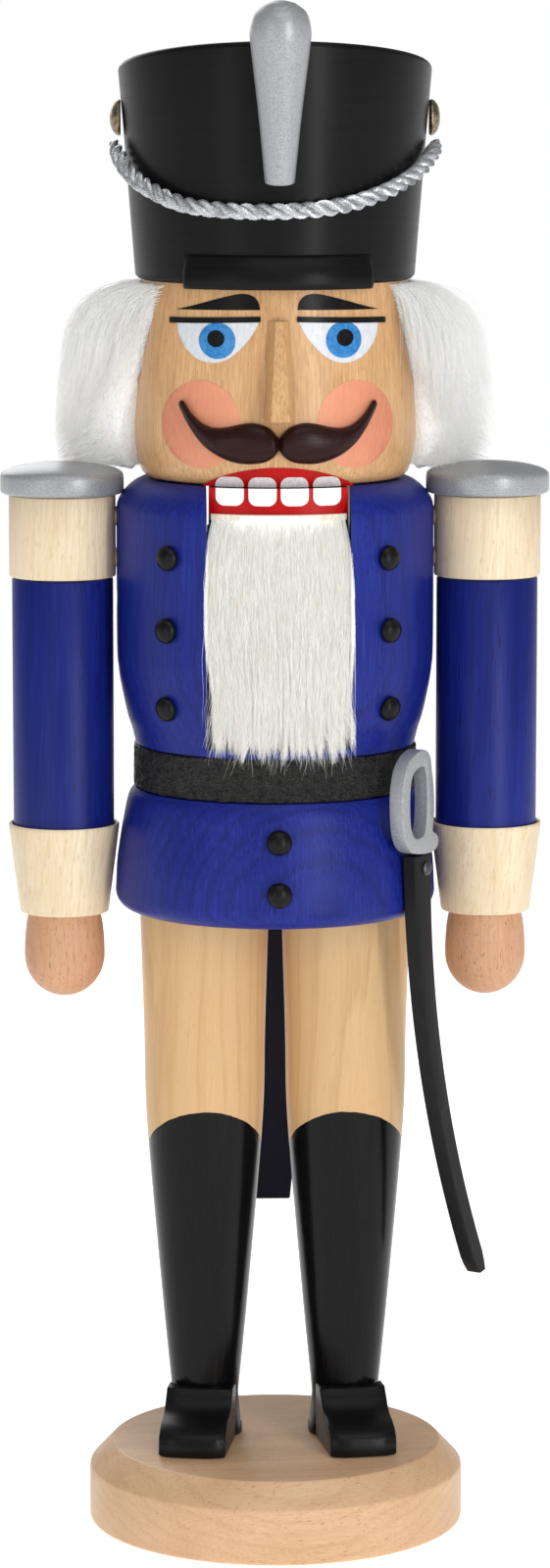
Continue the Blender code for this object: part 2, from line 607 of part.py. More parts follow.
def make_moustache():
    """Two carved lobes with swept-up tips, curved round the head."""
    upper, lower = moustache_edges()
    upper, lower = smooth_line(upper, 2), smooth_line(lower, 2)
    columns = list(zip(upper, lower))
    columns = [(Vector((-u.x, u.y)), Vector((-v.x, v.y))) for u, v in reversed(columns[1:])] + columns
    rings = []
    for u, v in columns:
        middle = (u + v) / 2
        thick = MOUSTACHE_T * min(1.0, 0.25 + (u - v).length / (7 * MM))
        ring = []
        upper_third, lower_third = u * 0.8 + v * 0.2, u * 0.2 + v * 0.8
        for point, out in ((v, 0), (u, 0), (upper_third, 0.75), (middle, 1), (lower_third, 0.75)):
            x, z = point
            wide = head_radius(z) + GAP * 2 + thick * out
            ring.append((x, FIGURE_Y - sqrt(wide ** 2 - x ** 2), z))
        rings.append(ring)
    loft("moustache", rings, BROWN)


def make_hair():
    """The strip of fur round the back of the head, as a plain soft solid."""
    rings = []
    steps = 22
    for i in range(steps + 1):
        t = i / steps
        angle = HAIR_FROM + (360 - 2 * HAIR_FROM) * t
        edge = min(1.0, 0.25 + 0.75 * sin(pi * min(t, 1 - t) * 5 if min(t, 1 - t) < 0.1 else pi / 2))
        low = HAIR_BOTTOM_Z + (1 - edge) * 12 * MM
        ring = []
        high = HAIR_TOP_Z
        for up, out in ((1, 0), (0.75, 0), (0.5, 0), (0.25, 0), (0, 0), (0, 0.62), (0.2, 0.93), (0.5, 1.0),
                        (0.78, 0.8), (1, 0.4)):
            z = low + (high - low) * up
            ring.append(around(head_radius(z) + GAP * 2 + HAIR_OUT * out * edge, angle, z))
        rings.append(ring)
    loft("hair", rings, FUR)


# ---------------------------------------------------------------- hat

def hat_radius(z):
    return HAT_R + (HAT_TOP_R - HAT_R) * (z - HAT_BOTTOM_Z) / (HAT_TOP_Z - HAT_BOTTOM_Z)


def make_hat():
    rim = HAT_TOP_R - HAT_RIM
    profile = [(0, HAT_BOTTOM_Z), (HAT_R - 0.8 * MM, HAT_BOTTOM_Z), (HAT_R, HAT_BOTTOM_Z + 0.8 * MM),
               (hat_radius(HAT_TOP_Z - 14 * MM), HAT_TOP_Z - 14 * MM)]
    profile += [(rim + HAT_RIM * cos(radians(a)), HAT_TOP_Z - HAT_RIM + HAT_RIM * sin(radians(a)))
                for a in (0, 35, 65, 90)]
    bm = turned_bm(profile + [(0, HAT_TOP_Z)], 36, (0, FIGURE_Y))
    for v in bm.verts:  # the top slants down to the back
        if v.co.z > HAT_TOP_Z - 10 * MM:
            v.co.z -= (v.co.y - FIGURE_Y) * tan(radians(HAT_SLANT))
    hat = piece("hat", bm, BLACK)
    cut(hat, rod_bm(HAT_DOWEL_R + BORE, (0, FIGURE_Y, HEAD_TOP_Z - MM),
                    (0, FIGURE_Y, HAT_BOTTOM_Z + HAT_DOWEL_HALF + MM), 12), "hat_socket")
    for side, name in ((-1, "right"), (1, "left")):
        out = hat_radius(NAIL_Z)
        dome = [(NAIL_R * cos(radians(a)), NAIL_DOME * sin(radians(a))) for a in (70, 45, 20, 0)]
        profile = [(0, NAIL_DOME), *dome,
                   (NAIL_R * 0.93, -0.35 * MM), (NAIL_SHANK_R, -0.35 * MM),
                   (NAIL_SHANK_R, -NAIL_STAND - NAIL_SHANK_L + MM), (0, -NAIL_STAND - NAIL_SHANK_L)]
        seat = Vector((side * (out + NAIL_STAND), FIGURE_Y, NAIL_Z))
        stud(f"cord_nail_{name}", profile, seat, (side, 0, 0), BRONZE)
        cut(hat, rod_bm(NAIL_SHANK_R + BORE, (side * (out - NAIL_SHANK_L - MM), FIGURE_Y, NAIL_Z),
                        (side * (out + 5 * MM), FIGURE_Y, NAIL_Z), 10), f"nail_bore_{name}")
    start, end = plume_pin_ends()
    start, end = start - Vector((0, 5 * MM, 0)), end + Vector((0, MM, 0))
    cut(hat, rod_bm(PLUME_PIN_R + BORE, start, end, 10), "plume_bore")


def make_visor():
    """A peak that hugs the front of the hat, rounded on its upper and lower edge."""
    low = HAT_BOTTOM_Z - VISOR_DROP
    rings = []
    steps = 12
    for i in range(steps + 1):
        angle = -VISOR_HALF_ANGLE + 2 * VISOR_HALF_ANGLE * i / steps
        inner = max(hat_radius(HAT_BOTTOM_Z), hat_radius(low + VISOR_H)) + GAP
        ring = [around(inner, angle, low + VISOR_H - 0.2 * MM), around(inner, angle, low)]
        for z, out in ((0, 0.72), (0.9, 0.95), (2.6, 1.0), (5.2, 0.86), (7.4, 0.56)):
            ring.append(around(inner + VISOR_T * out, angle, low + z * MM))
        ring.append(around(inner + VISOR_T * 0.2, angle, low + VISOR_H))
        rings.append(ring)
    loft("hat_visor", rings, BLACK)


def plume_axis():
    """The foot and the top of the plume's axis, which leans out with the front of the hat."""
    foot = Vector((0, FIGURE_Y - hat_radius(PLUME_BOTTOM_Z) - PLUME_FOOT_R - 0.8 * MM, PLUME_BOTTOM_Z))
    top_y = FIGURE_Y - HAT_TOP_R - PLUME_R - 2.4 * MM
    return foot, Vector((0, top_y, PLUME_TOP_Z))


def plume_pin_ends():
    foot, top = plume_axis()
    t = (PLUME_PIN_Z - PLUME_BOTTOM_Z) / (PLUME_TOP_Z - PLUME_BOTTOM_Z)
    start = foot.lerp(top, t)
    return start, Vector((0, FIGURE_Y - hat_radius(PLUME_PIN_Z) + 8 * MM, PLUME_PIN_Z))


def make_plume():
    foot, top = plume_axis()
    long = (top - foot).length
    body = smooth_line([(PLUME_FOOT_R, 0.5 * MM), (PLUME_FOOT_R * 0.55 + PLUME_R * 0.45, long * 0.4),
                        (PLUME_R * 0.96, long * 0.74), (PLUME_R, long * 0.84),
                        (PLUME_R * 0.85, long * 0.935), (PLUME_R * 0.5, long * 0.985)], 2)
    profile = [(0, 0), (PLUME_FOOT_R - 0.5 * MM, 0), *[tuple(p) for p in body], (0, long)]
    plume = stud("plume", profile, foot, top - foot, SILVER, sides=16)
    start, end = plume_pin_ends()
    cutter = rod_bm(PLUME_PIN_R + BORE, start - Vector((0, MM, 0)), end + Vector((0, 5 * MM, 0)), 10)
    cut(plume, cutter, "plume_pin_bore")
    rod("plume_pin", PLUME_PIN_R, start, end, STEEL, 10)


def make_cord():
    """The cord's route round the front of the hat, as angle and depth below the nails."""
    route = [(-86, 6.4), (-78, 9.4), (-66, 13.8), (-52, 17.5), (-35, 20.9), (-12, 22.2), (10, 21.9),
             (25, 20.6), (40, 18.0), (58, 13.8), (73, 9.4), (86, 6.4)]
    points = []
    for angle, drop in smooth_line(route, 3):
        z = NAIL_Z - drop * MM
        points.append(around(hat_radius(z) + CORD_R + CORD_LIFT, angle, z))
    curve = bpy.data.curves.new("hat_cord", "CURVE")
    curve.dimensions = "3D"
    curve.bevel_depth = CORD_R
    curve.bevel_resolution = 2
    curve.use_fill_caps = True
    spline = curve.splines.new("POLY")
    spline.points.add(len(points) - 1)
    for target, p in zip(spline.points, points):
        target.co = (*p, 1.0)
    curve.materials.append(TINSEL)
    bpy.context.collection.objects.link(bpy.data.objects.new("hat_cord", curve))


# ---------------------------------------------------------------- arms

def make_arm(side, name):
    at = (side * ARM_X, FIGURE_Y)
    cap_top = CAP_BOTTOM_Z + CAP_EDGE_H
    tenon_end = CAP_BOTTOM_Z - CAP_TENON_L
    dome = [(CAP_R * cos(radians(a)), cap_top + CAP_DOME * sin(radians(a))) for a in (72, 50, 28, 10)]
    turned(f"shoulder_cap_{name}", [(0, cap_top + CAP_DOME), *dome, (CAP_R, cap_top - 0.5 * MM),
                                    (CAP_R, CAP_BOTTOM_Z + 0.9 * MM), (CAP_R - 0.9 * MM, CAP_BOTTOM_Z),
                                    (ARM_TENON_R, CAP_BOTTOM_Z), (ARM_TENON_R, tenon_end), (0, tenon_end)],
           SILVER, at=at)
    hole = ARM_TENON_R + BORE
    ring = [(hole, BAND_TOP_Z), (BAND_R, BAND_TOP_Z), (BAND_R, BAND_BOTTOM_Z + GAP),
            (BAND_R - GAP, BAND_BOTTOM_Z), (hole, BAND_BOTTOM_Z), (hole, BAND_TOP_Z)]
    band = turned(f"shoulder_band_{name}", ring, MAPLE, at=at)
    sleeve_top = BAND_BOTTOM_Z - GAP
    cuff_top = CUFF_TOP_Z - 1.0 * MM
    sleeve_low = cuff_top + GAP
    hand_tenon_top = HAND_TOP_Z + HAND_TENON_L
    sleeve = [(0, tenon_end - MM), (hole, tenon_end - MM), (hole, sleeve_top), (SLEEVE_R, sleeve_top),
              (SLEEVE_R, sleeve_low), (hole, sleeve_low), (hole, hand_tenon_top + MM),
              (0, hand_tenon_top + MM)]
    turned(f"sleeve_{name}", sleeve, BLUE, at=at)
    rim = SLEEVE_R + GAP
    cuff = [(hole, cuff_top), (rim, cuff_top), (rim, CUFF_TOP_Z), (CUFF_TOP_R, CUFF_TOP_Z),
            (CUFF_TOP_R, CUFF_TOP_Z - 1.2 * MM), (CUFF_BOTTOM_R + 0.4 * MM, CUFF_BOTTOM_Z + 0.6 * MM),
            (CUFF_BOTTOM_R, CUFF_BOTTOM_Z), (hole, CUFF_BOTTOM_Z), (hole, cuff_top)]
    turned(f"cuff_{name}", cuff, MAPLE, at=at)
    hand_top = HAND_TOP_Z
    middle = HAND_BOTTOM_Z + HAND_R * 1.05
    egg = [(HAND_R * sin(radians(a)), middle - (middle - HAND_BOTTOM_Z) * cos(radians(a)))
           for a in (22, 45, 68, 90)]
    egg += [(HAND_R * 0.99, middle + 4.0 * MM), (HAND_R * 0.955, hand_top - 3.0 * MM),
            (HAND_R * 0.9, hand_top)]
    turned(f"hand_{name}", [(0, HAND_BOTTOM_Z), *egg, (ARM_TENON_R, hand_top), (ARM_TENON_R, hand_tenon_top),
                            (0, hand_tenon_top)], HAND, sides=20, at=at)
    for z, label in ((ARM_PEG_UPPER_Z, "upper"), (ARM_PEG_LOWER_Z, "lower")):
        inner = side * (CHEST_R - ARM_PEG_IN)
        outer = side * (ARM_X - BAND_R + ARM_PEG_OUT)
        rod(f"arm_peg_{label}_{name}", ARM_PEG_R, (inner, FIGURE_Y, z), (outer, FIGURE_Y, z), BEECH, 12)
        start, end = (side * CHEST_R * 0.9, FIGURE_Y, z), (outer + side * MM, FIGURE_Y, z)
        bore = rod_bm(ARM_PEG_R + BORE, start, end, 12)
        cut(band, bore, f"peg_bore_{label}_{name}")


# ---------------------------------------------------------------- sabre

def sabre_point(s, z, out):
    """A point on the sabre's plane: s across it, out from its inner face."""
    a = radians(SABRE_ANGLE)
    normal, across = Vector((sin(a), -cos(a), 0)), Vector((cos(a), sin(a), 0))
    return Vector((0, FIGURE_Y, z)) + normal * (SABRE_BACK + out) + across * s


def make_sabre():
    def sawn_line(shares):
        """An outline from shares of the guard's width and height."""
        wide, high = GUARD_IN + GUARD_OUT, GUARD_TOP_Z - GUARD_BOTTOM_Z
        return [(-GUARD_IN + wide * u, GUARD_BOTTOM_Z + high * v) for u, v in shares]

    outer = sawn_line([(0, 0.51), (0.03, 0.71), (0.12, 0.85), (0.26, 0.94), (0.43, 0.99), (0.58, 1),
                       (0.7, 0.97), (0.77, 0.91), (0.81, 0.79), (0.855, 0.65), (0.875, 0.5), (0.875, 0.36),
                       (0.85, 0.25), (0.84, 0.2), (0.9, 0.18), (0.965, 0.158), (1, 0.114), (0.99, 0.066),
                       (0.93, 0.026), (0.81, 0.004), (0.64, 0), (0.43, 0.015), (0.26, 0.044),
                       (0.12, 0.125), (0.035, 0.265)])
    guard = loft("sabre_guard", [[sabre_point(s, z, out) for s, z in outer] for out in (0, GUARD_T)],
                 SILVER, smooth=False)
    hole = sawn_line([(0.216, 0.53), (0.245, 0.71), (0.33, 0.8), (0.465, 0.836), (0.58, 0.838),
                      (0.63, 0.81), (0.667, 0.71), (0.69, 0.53), (0.68, 0.36), (0.637, 0.21),
                      (0.58, 0.18), (0.43, 0.165), (0.32, 0.195), (0.237, 0.31)])
    bm = bmesh.new()
    for out in (-MM, GUARD_T + MM):
        bm.faces.new([bm.verts.new(sabre_point(s, z, out)) for s, z in hole])
    bmesh.ops.bridge_loops(bm, edges=list(bm.edges))
    cut(guard, bm, "guard_hole")
    rings = []
    steps = 12
    for i in range(steps + 1):
        t = i / steps
        z = BLADE_TOP_Z - BLADE_L * t
        s = BLADE_SWEEP * t ** 2 - 0.3 * MM
        lean = 2 * BLADE_SWEEP * t / BLADE_L
        half = BLADE_TIP_HALF + (BLADE_HALF - BLADE_TIP_HALF) * (1 - t) ** 2
        if i == steps:
            half = 0.5 * MM
        ring = []
        for across, out in ((-1, 0.12), (-1, 0.72), (-0.62, 1), (0.62, 1), (1, 0.72), (1, 0.12), (0.85, 0),
                            (-0.85, 0)):
            ring.append(sabre_point(s + across * half, z + across * half * lean * 0.5, BLADE_T * out))
        rings.append(ring)
    blade = loft("sabre_scabbard", rings, BLACK)
    cut(blade, rod_bm(SABRE_NAIL_SHANK_R + BORE, sabre_point(0, SABRE_NAIL_Z, -2 * MM),
                      sabre_point(0, SABRE_NAIL_Z, 10 * MM), 8), "scabbard_nail_bore")
    dome = [(SABRE_NAIL_R * cos(radians(a)), 1.0 * MM * sin(radians(a))) for a in (65, 35, 0)]
    profile = [(0, 1.0 * MM), *dome, (SABRE_NAIL_SHANK_R, 0), (SABRE_NAIL_SHANK_R, -BLADE_T - 5 * MM),
               (0, -BLADE_T - 6 * MM)]
    seat = sabre_point(0, SABRE_NAIL_Z, BLADE_T + GAP)
    stud("sabre_nail", profile, seat, outward(SABRE_ANGLE), BLACK, sides=10)


# ---------------------------------------------------------------- lever, beard and pin

def make_lever():
    """Jaw, bar and tail sawn from one board, with the tail tapering to its end."""
    half = SLOT_HALF - JAW_SIDE_GAP
    tail_in = FIGURE_Y + SKIRT_R + TAIL_CLEAR
    tail_out = tail_in + TAIL_T
    top = NECK_Z - GAP / 2
    jaw_back = FIGURE_Y - JAW_FRONT_R + JAW_LIP
    front = None  # stands for the rounded face, whose depth follows x
    body = [(front, JAW_BOTTOM_Z), (front, top), (jaw_back, top), (jaw_back + 1.5 * MM, SEAT_FLOOR_Z),
            (FIGURE_Y + SEAT_BACK, SEAT_FLOOR_Z), (FIGURE_Y + SEAT_BACK + 7 * MM, BAR_TOP_Z),
            (tail_out - TAIL_EDGE, BAR_TOP_Z), (tail_out, BAR_TOP_Z - TAIL_EDGE)]
    tail = [(tail_out, TAIL_TAPER_Z), (tail_out, TAIL_BOTTOM_Z + 0.8 * MM),
            (tail_out - 0.8 * MM, TAIL_BOTTOM_Z), (tail_in, TAIL_BOTTOM_Z), (tail_in, TAIL_TAPER_Z)]
    rest = [(tail_in, BAR_BOTTOM_Z - 4 * MM), (tail_in - 4 * MM, BAR_BOTTOM_Z),
            (jaw_back + 3 * MM, BAR_BOTTOM_Z), (jaw_back, JAW_BOTTOM_Z)]
    line = body + tail + rest
    first, last = len(body), len(body) + len(tail) - 1
    bm = bmesh.new()
    slices = []
    for across in (-1, -0.66, -0.33, 0, 0.33, 0.66, 1):
        row = []
        for y, z in line:
            wide = half
            if z < TAIL_TAPER_Z and y is not None:
                t = (TAIL_TAPER_Z - z) / (TAIL_TAPER_Z - TAIL_BOTTOM_Z)
                wide = half + (TAIL_END_HALF - half) * min(1.0, t)
            x = across * wide
            if y is None:
                y = FIGURE_Y - sqrt(JAW_FRONT_R ** 2 - x ** 2)
            row.append(bm.verts.new((x, y, z)))
        slices.append(row)
    n = len(line)
    for a, b in zip(slices, slices[1:]):
        for i in range(n):
            j = (i + 1) % n
            bm.faces.new((a[i], a[j], b[j], b[i]))
    for row in (slices[0], slices[-1]):
        bm.faces.new(row[first:last + 1])
        bm.faces.new(row[:first + 1] + row[last:])
    lever = piece("jaw_lever", bm, BLUE, smooth=False)
    cut(lever, rod_bm(PIN_R + PIN_CLEAR, (-2 * half, FIGURE_Y, PIVOT_Z), (2 * half, FIGURE_Y, PIVOT_Z)),
        "lever_bore")
    lever.parent = jaw_axis
    lever.matrix_parent_inverse = Matrix.Translation((0, -FIGURE_Y, -PIVOT_Z))
    rod("pivot_pin", PIN_R, (-PIN_HALF, FIGURE_Y, PIVOT_Z), (PIN_HALF, FIGURE_Y, PIVOT_Z), STEEL)


def make_beard():
    """A plain soft strip on the front of the jaw."""
    rings = []
    for t in (0.0, 0.12, 0.35, 0.6, 0.85, 1.0):
        z = BEARD_TOP_Z + (BEARD_BOTTOM_Z - BEARD_TOP_Z) * t
        half = BEARD_TOP_HALF + (BEARD_HALF - BEARD_TOP_HALF) * sin(pi * min(t, 0.9) / 1.2)
        thick = BEARD_T * (0.5 + 0.5 * sin(pi * (0.15 + 0.75 * t)))
        if t == 1.0:
            half -= 1.5 * MM
            thick -= 1.5 * MM
        ring = []
        across = (-1, -0.6, -0.2, 0.2, 0.6, 1)
        for k in across:
            x = k * half
            inner = JAW_FRONT_R + GAP
            ring.append((x, FIGURE_Y - sqrt(inner ** 2 - x ** 2), z))
        for k in reversed(across):
            x = k * half
            outer = JAW_FRONT_R + GAP + thick * (1 - 0.55 * abs(k) ** 3)
            ring.append((x, FIGURE_Y - sqrt(outer ** 2 - x ** 2), z))
        rings.append(ring)
    beard = loft("beard", rings, FUR)
    beard.parent = jaw_axis
    beard.matrix_parent_inverse = Matrix.Translation((0, -FIGURE_Y, -PIVOT_Z))


# ---------------------------------------------------------------- build

for old in list(bpy.data.objects):
    bpy.data.objects.remove(old, do_unlink=True)

jaw_axis = bpy.data.objects.new("jaw_axis", None)
jaw_axis.location = (0, FIGURE_Y, PIVOT_Z)
bpy.context.collection.objects.link(jaw_axis)

make_base()
for which, label in ((-1, "right"), (1, "left")):
    make_leg(which, label)
    make_foot(which, label)
    make_arm(which, label)
make_torso()
make_belt()
make_buttons()
make_head()
make_nose()
make_moustache()
make_hair()
make_hat()
make_visor()
make_plume()
make_cord()
make_sabre()
make_lever()
make_beard()
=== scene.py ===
from math import cos, pi, radians, sin, sqrt, tan

import bmesh
import bpy
import numpy as np
from mathutils import Matrix, Vector, noise


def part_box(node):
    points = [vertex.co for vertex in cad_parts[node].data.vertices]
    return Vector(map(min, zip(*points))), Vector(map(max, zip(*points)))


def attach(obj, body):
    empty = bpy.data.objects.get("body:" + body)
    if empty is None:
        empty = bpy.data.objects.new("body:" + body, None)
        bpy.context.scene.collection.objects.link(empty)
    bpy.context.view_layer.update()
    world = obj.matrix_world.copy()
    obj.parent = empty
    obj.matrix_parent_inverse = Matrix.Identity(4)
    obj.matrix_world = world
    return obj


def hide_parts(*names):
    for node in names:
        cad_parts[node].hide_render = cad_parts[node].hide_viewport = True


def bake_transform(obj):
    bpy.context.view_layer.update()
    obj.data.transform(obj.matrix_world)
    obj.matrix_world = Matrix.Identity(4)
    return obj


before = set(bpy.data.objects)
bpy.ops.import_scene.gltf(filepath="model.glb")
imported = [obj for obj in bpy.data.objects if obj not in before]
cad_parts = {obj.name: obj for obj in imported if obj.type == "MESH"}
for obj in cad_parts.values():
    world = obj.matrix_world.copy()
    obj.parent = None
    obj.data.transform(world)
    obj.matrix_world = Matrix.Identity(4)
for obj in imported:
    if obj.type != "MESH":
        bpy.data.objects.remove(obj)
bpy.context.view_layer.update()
print("frame loaded")

mm = 0.001
axisY = sum(corner.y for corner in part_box("head")) / 2  # every turned piece of the figure shares this axis
midY = axisY / mm
bothSides = ((-1, "right"), (1, "left"))


def lowOf(node):
    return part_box(node)[0].z / mm


def topOf(node):
    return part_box(node)[1].z / mm


def middleOf(node):
    # halfway across a node
    return (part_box(node)[0].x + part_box(node)[1].x) / 2 / mm


def addToScene(o):
    bpy.context.scene.collection.objects.link(o)


hemZ, neckZ = lowOf("torso"), topOf("jaw_lever") + 0.15
headTopZ, hatLowZ = topOf("head"), lowOf("hat")
pinZ = topOf("pivot_pin") - 2.5  # the middle of the jaw's pin

# camera, lights and floor

studio = {"height": 0.385, "away": 1.326, "tilt": 81.69, "turn": 1.6, "lens": 119.77}
cameraData = bpy.data.cameras.new("camera")
cameraData.lens = studio["lens"]
camera = bpy.data.objects.new("camera", cameraData)
turn = radians(studio["turn"])
camera.location = (-studio["away"] * sin(turn), axisY - studio["away"] * cos(turn), studio["height"])
camera.rotation_euler = (radians(studio["tilt"]), 0, -turn)
addToScene(camera)
bpy.context.scene.camera = camera
bpy.context.scene.view_settings.view_transform = "Standard"

lampTable = {  # place, aim height, width, height, power
    "keyLamp": ((0.6, -1.05, 0.4), 0.2, 0.07, 0.8, 4.6),
    "fillLamp": ((-0.75, -1.05, 0.4), 0.2, 0.3, 0.8, 1.2),
    "topLamp": ((0.1, -0.35, 1.25), 0.25, 0.9, 0.7, 2.4),
    "backLamp": ((-0.35, 0.95, 0.75), 0.25, 0.7, 0.7, 4.0),
}
for name, (spot, aim, wide, high, power) in lampTable.items():
    lampData = bpy.data.lights.new(name, "AREA")
    lampData.shape = "RECTANGLE"
    lampData.size, lampData.size_y, lampData.energy = wide, high, power
    lamp = bpy.data.objects.new(name, lampData)
    lamp.location = spot
    lamp.rotation_euler = (Vector((0, 0, aim)) - Vector(spot)).to_track_quat("-Z", "Y").to_euler()
    addToScene(lamp)
sunData = bpy.data.lights.new("softSun", "SUN")
sunData.energy, sunData.angle = 0.36, radians(60)
softSun = bpy.data.objects.new("softSun", sunData)
softSun.rotation_euler = (radians(48), radians(14), 0)
addToScene(softSun)
world = bpy.data.worlds.new("studioWorld")
world.use_nodes = True
bpy.context.scene.world = world


# materials: a few short tools for the node trees

def rgb(red, green, blue):
    return tuple((c / 255 / 12.92 if c < 10 else ((c / 255 + 0.055) / 1.055) ** 2.4)
                 for c in (red, green, blue)) + (1.0,)


def newMaterial(name, **sockets):
    material = bpy.data.materials.new(name)
    material.use_nodes = True
    shader = material.node_tree.nodes["Principled BSDF"]
    for socket, value in sockets.items():
        shader.inputs[socket.replace("_", " ")].default_value = value
    return material, shader


def addNode(material, kind, inputs=None, **settings):
    node = material.node_tree.nodes.new("ShaderNode" + kind)
    for key, value in settings.items():
        setattr(node, key, value)
    for key, value in (inputs or {}).items():
        wire(material, value, node.inputs[key])
    return node


def wire(material, value, socket):
    if isinstance(value, bpy.types.NodeSocket):
        material.node_tree.links.new(value, socket)
    else:
        socket.default_value = value


def space(material, middle=(0, 0, 0), turn=(0, 0, 0), stretch=(1, 1, 1)):
    # object coordinates moved to a middle, turned, and stretched in millimetres
    place = addNode(material, "TexCoord")
    return addNode(material, "Mapping", {"Vector": place.outputs["Object"],
                                         "Location": [c * mm for c in middle],
                                         "Rotation": [radians(a) for a in turn],
                                         "Scale": [s * mm for s in stretch]},
                   vector_type="TEXTURE").outputs["Vector"]


def noiseOf(material, vector, detail=3.0, rough=0.55):
    return addNode(material, "TexNoise", {"Vector": vector, "Scale": 1.0, "Detail": detail,
                                          "Roughness": rough}).outputs["Fac"]


def ramp(material, factor, *stops):
    node = addNode(material, "ValToRGB", {"Fac": factor})
    elements = node.color_ramp.elements
    for i, (position, colour) in enumerate(stops):
        element = elements[i] if i < 2 else elements.new(position)
        element.position = position
        element.color = colour if isinstance(colour, tuple) else (colour, colour, colour, 1)
    return node.outputs["Color"]


def mix(material, factor, a, b, mode="MIX"):
    node = addNode(material, "Mix", data_type="RGBA", blend_type=mode)
    for value, socket in ((factor, node.inputs[0]), (a, node.inputs[6]), (b, node.inputs[7])):
        wire(material, value, socket)
    return node.outputs[2]


def over(material, colour, factor, low, high, second):
    # the second colour laid over the first as the factor climbs from low to high, each (position, amount)
    return mix(material, ramp(material, factor, low, high), colour, second)


def math(material, operation, a, b=0.0):
    node = addNode(material, "Math", operation=operation)
    wire(material, a, node.inputs[0])
    wire(material, b, node.inputs[1])
    return node.outputs[0]


def dress(material, shader, colour, rough):
    wire(material, colour, shader.inputs["Base Color"])
    wire(material, rough, shader.inputs["Roughness"])


def bump(material, shader, *layers):
    # layers of (height, strength, depth in mm), one over the other
    normal = None
    for height, strength, depth in layers:
        inputs = {"Height": height, "Strength": strength, "Distance": depth * mm}
        if normal is not None:
            inputs["Normal"] = normal
        normal = addNode(material, "Bump", inputs).outputs["Normal"]
    material.node_tree.links.new(normal, shader.inputs["Normal"])


def grain(material, wood):
    # growth rings, fine fibres, pores and broad shade of one piece of wood, each from 0 to 1
    pith, turn, ring = wood.get("pith", (-8, 30, 0)), wood.get("turn", (0, 0, 0)), wood.get("ring", 1.6)
    along = space(material, pith, turn, (1, 1, 9))
    rings = addNode(material, "TexWave", {"Vector": along, "Scale": 0.314 / ring,
                                          "Distortion": wood.get("waver", 5.0), "Detail": 2.5,
                                          "Detail Scale": 0.3 * ring, "Detail Roughness": 0.6},
                    wave_type="RINGS", rings_direction="Z", wave_profile="SAW").outputs["Fac"]
    fibres = noiseOf(material, space(material, pith, turn, (0.55, 0.55, 16)), 3.0, 0.65)
    pores = noiseOf(material, space(material, pith, turn, wood.get("pore", (0.36, 0.36, 3.2))), 1.0, 0.5)
    if wood.get("porous"):  # the pores stand in rows along the rings
        pores = math(material, "MULTIPLY", pores, ramp(material, rings, (0.0, 1.0), (0.3, 1.0), (0.5, 0.78)))
    broad = noiseOf(material, space(material, pith, turn, (11, 11, 60)), 2.0, 0.5)
    return rings, fibres, pores, broad


def woodMaterial(name, **wood):
    # bare or clear-finished wood
    material, shader = newMaterial(name, Specular_IOR_Level=0.42, Coat_Weight=wood.get("coat", 0.0),
                                   Coat_Roughness=0.3)
    rings, fibres, pores, broad = grain(material, wood)
    colour = mix(material, ramp(material, rings, (0.0, 0.0), (0.55, 0.0), (0.92, wood.get("mark", 0.5)),
                                (1.0, 0.0)), wood["light"], wood["dark"])
    colour = over(material, colour, fibres, (0.34, 0.0), (0.68, wood.get("streak", 0.6)), wood["pale"])
    colour = over(material, colour, broad, (0.3, 0.0), (0.75, 0.45), wood["dark"])
    colour = over(material, colour, pores, (0.64, 0.0), (0.74, wood.get("fleck", 0.55)), wood["spot"])
    gloss = wood.get("gloss", 0.42)
    dress(material, shader, colour, ramp(material, fibres, (0.2, gloss - 0.05), (0.8, gloss + 0.1)))
    relief = wood.get("relief", 1.0)
    bump(material, shader, (fibres, 0.35 * relief, 0.05), (pores, 0.3 * relief, 0.04))
    return material


def paintMaterial(name, **paint):
    # paint on wood: the fibres and rings still show through it
    material, shader = newMaterial(name, Specular_IOR_Level=paint.get("shine", 0.4),
                                   Metallic=paint.get("metal", 0.0), Coat_Weight=paint.get("coat", 0.0),
                                   Coat_Roughness=0.12)
    rings, fibres, pores, broad = grain(material, paint)
    show = paint.get("show", 0.5)
    late = ramp(material, rings, (0.5, 0.0), (0.9, 0.75 * show), (1.0, 0.0))
    colour = mix(material, late, paint["base"], paint["deep"] if paint.get("porous") else paint["pale"])
    colour = over(material, colour, fibres, (0.5, 0.0), (0.72, show), paint["pale"])
    colour = over(material, colour, pores, (0.62, 0.0), (0.72, paint.get("fleck", 0.7)), paint["deep"])
    colour = over(material, colour, broad, (0.3, 0.0), (0.8, 0.35), paint["deep"])
    gloss = paint.get("gloss", 0.35)
    dress(material, shader, colour, ramp(material, fibres, (0.25, gloss), (0.75, gloss + 0.12)))
    relief = paint.get("relief", 1.0)
    bump(material, shader, (rings, 0.12 * relief, 0.05), (fibres, 0.4 * relief, 0.05),
         (pores, 0.35 * relief, 0.05))
    return material


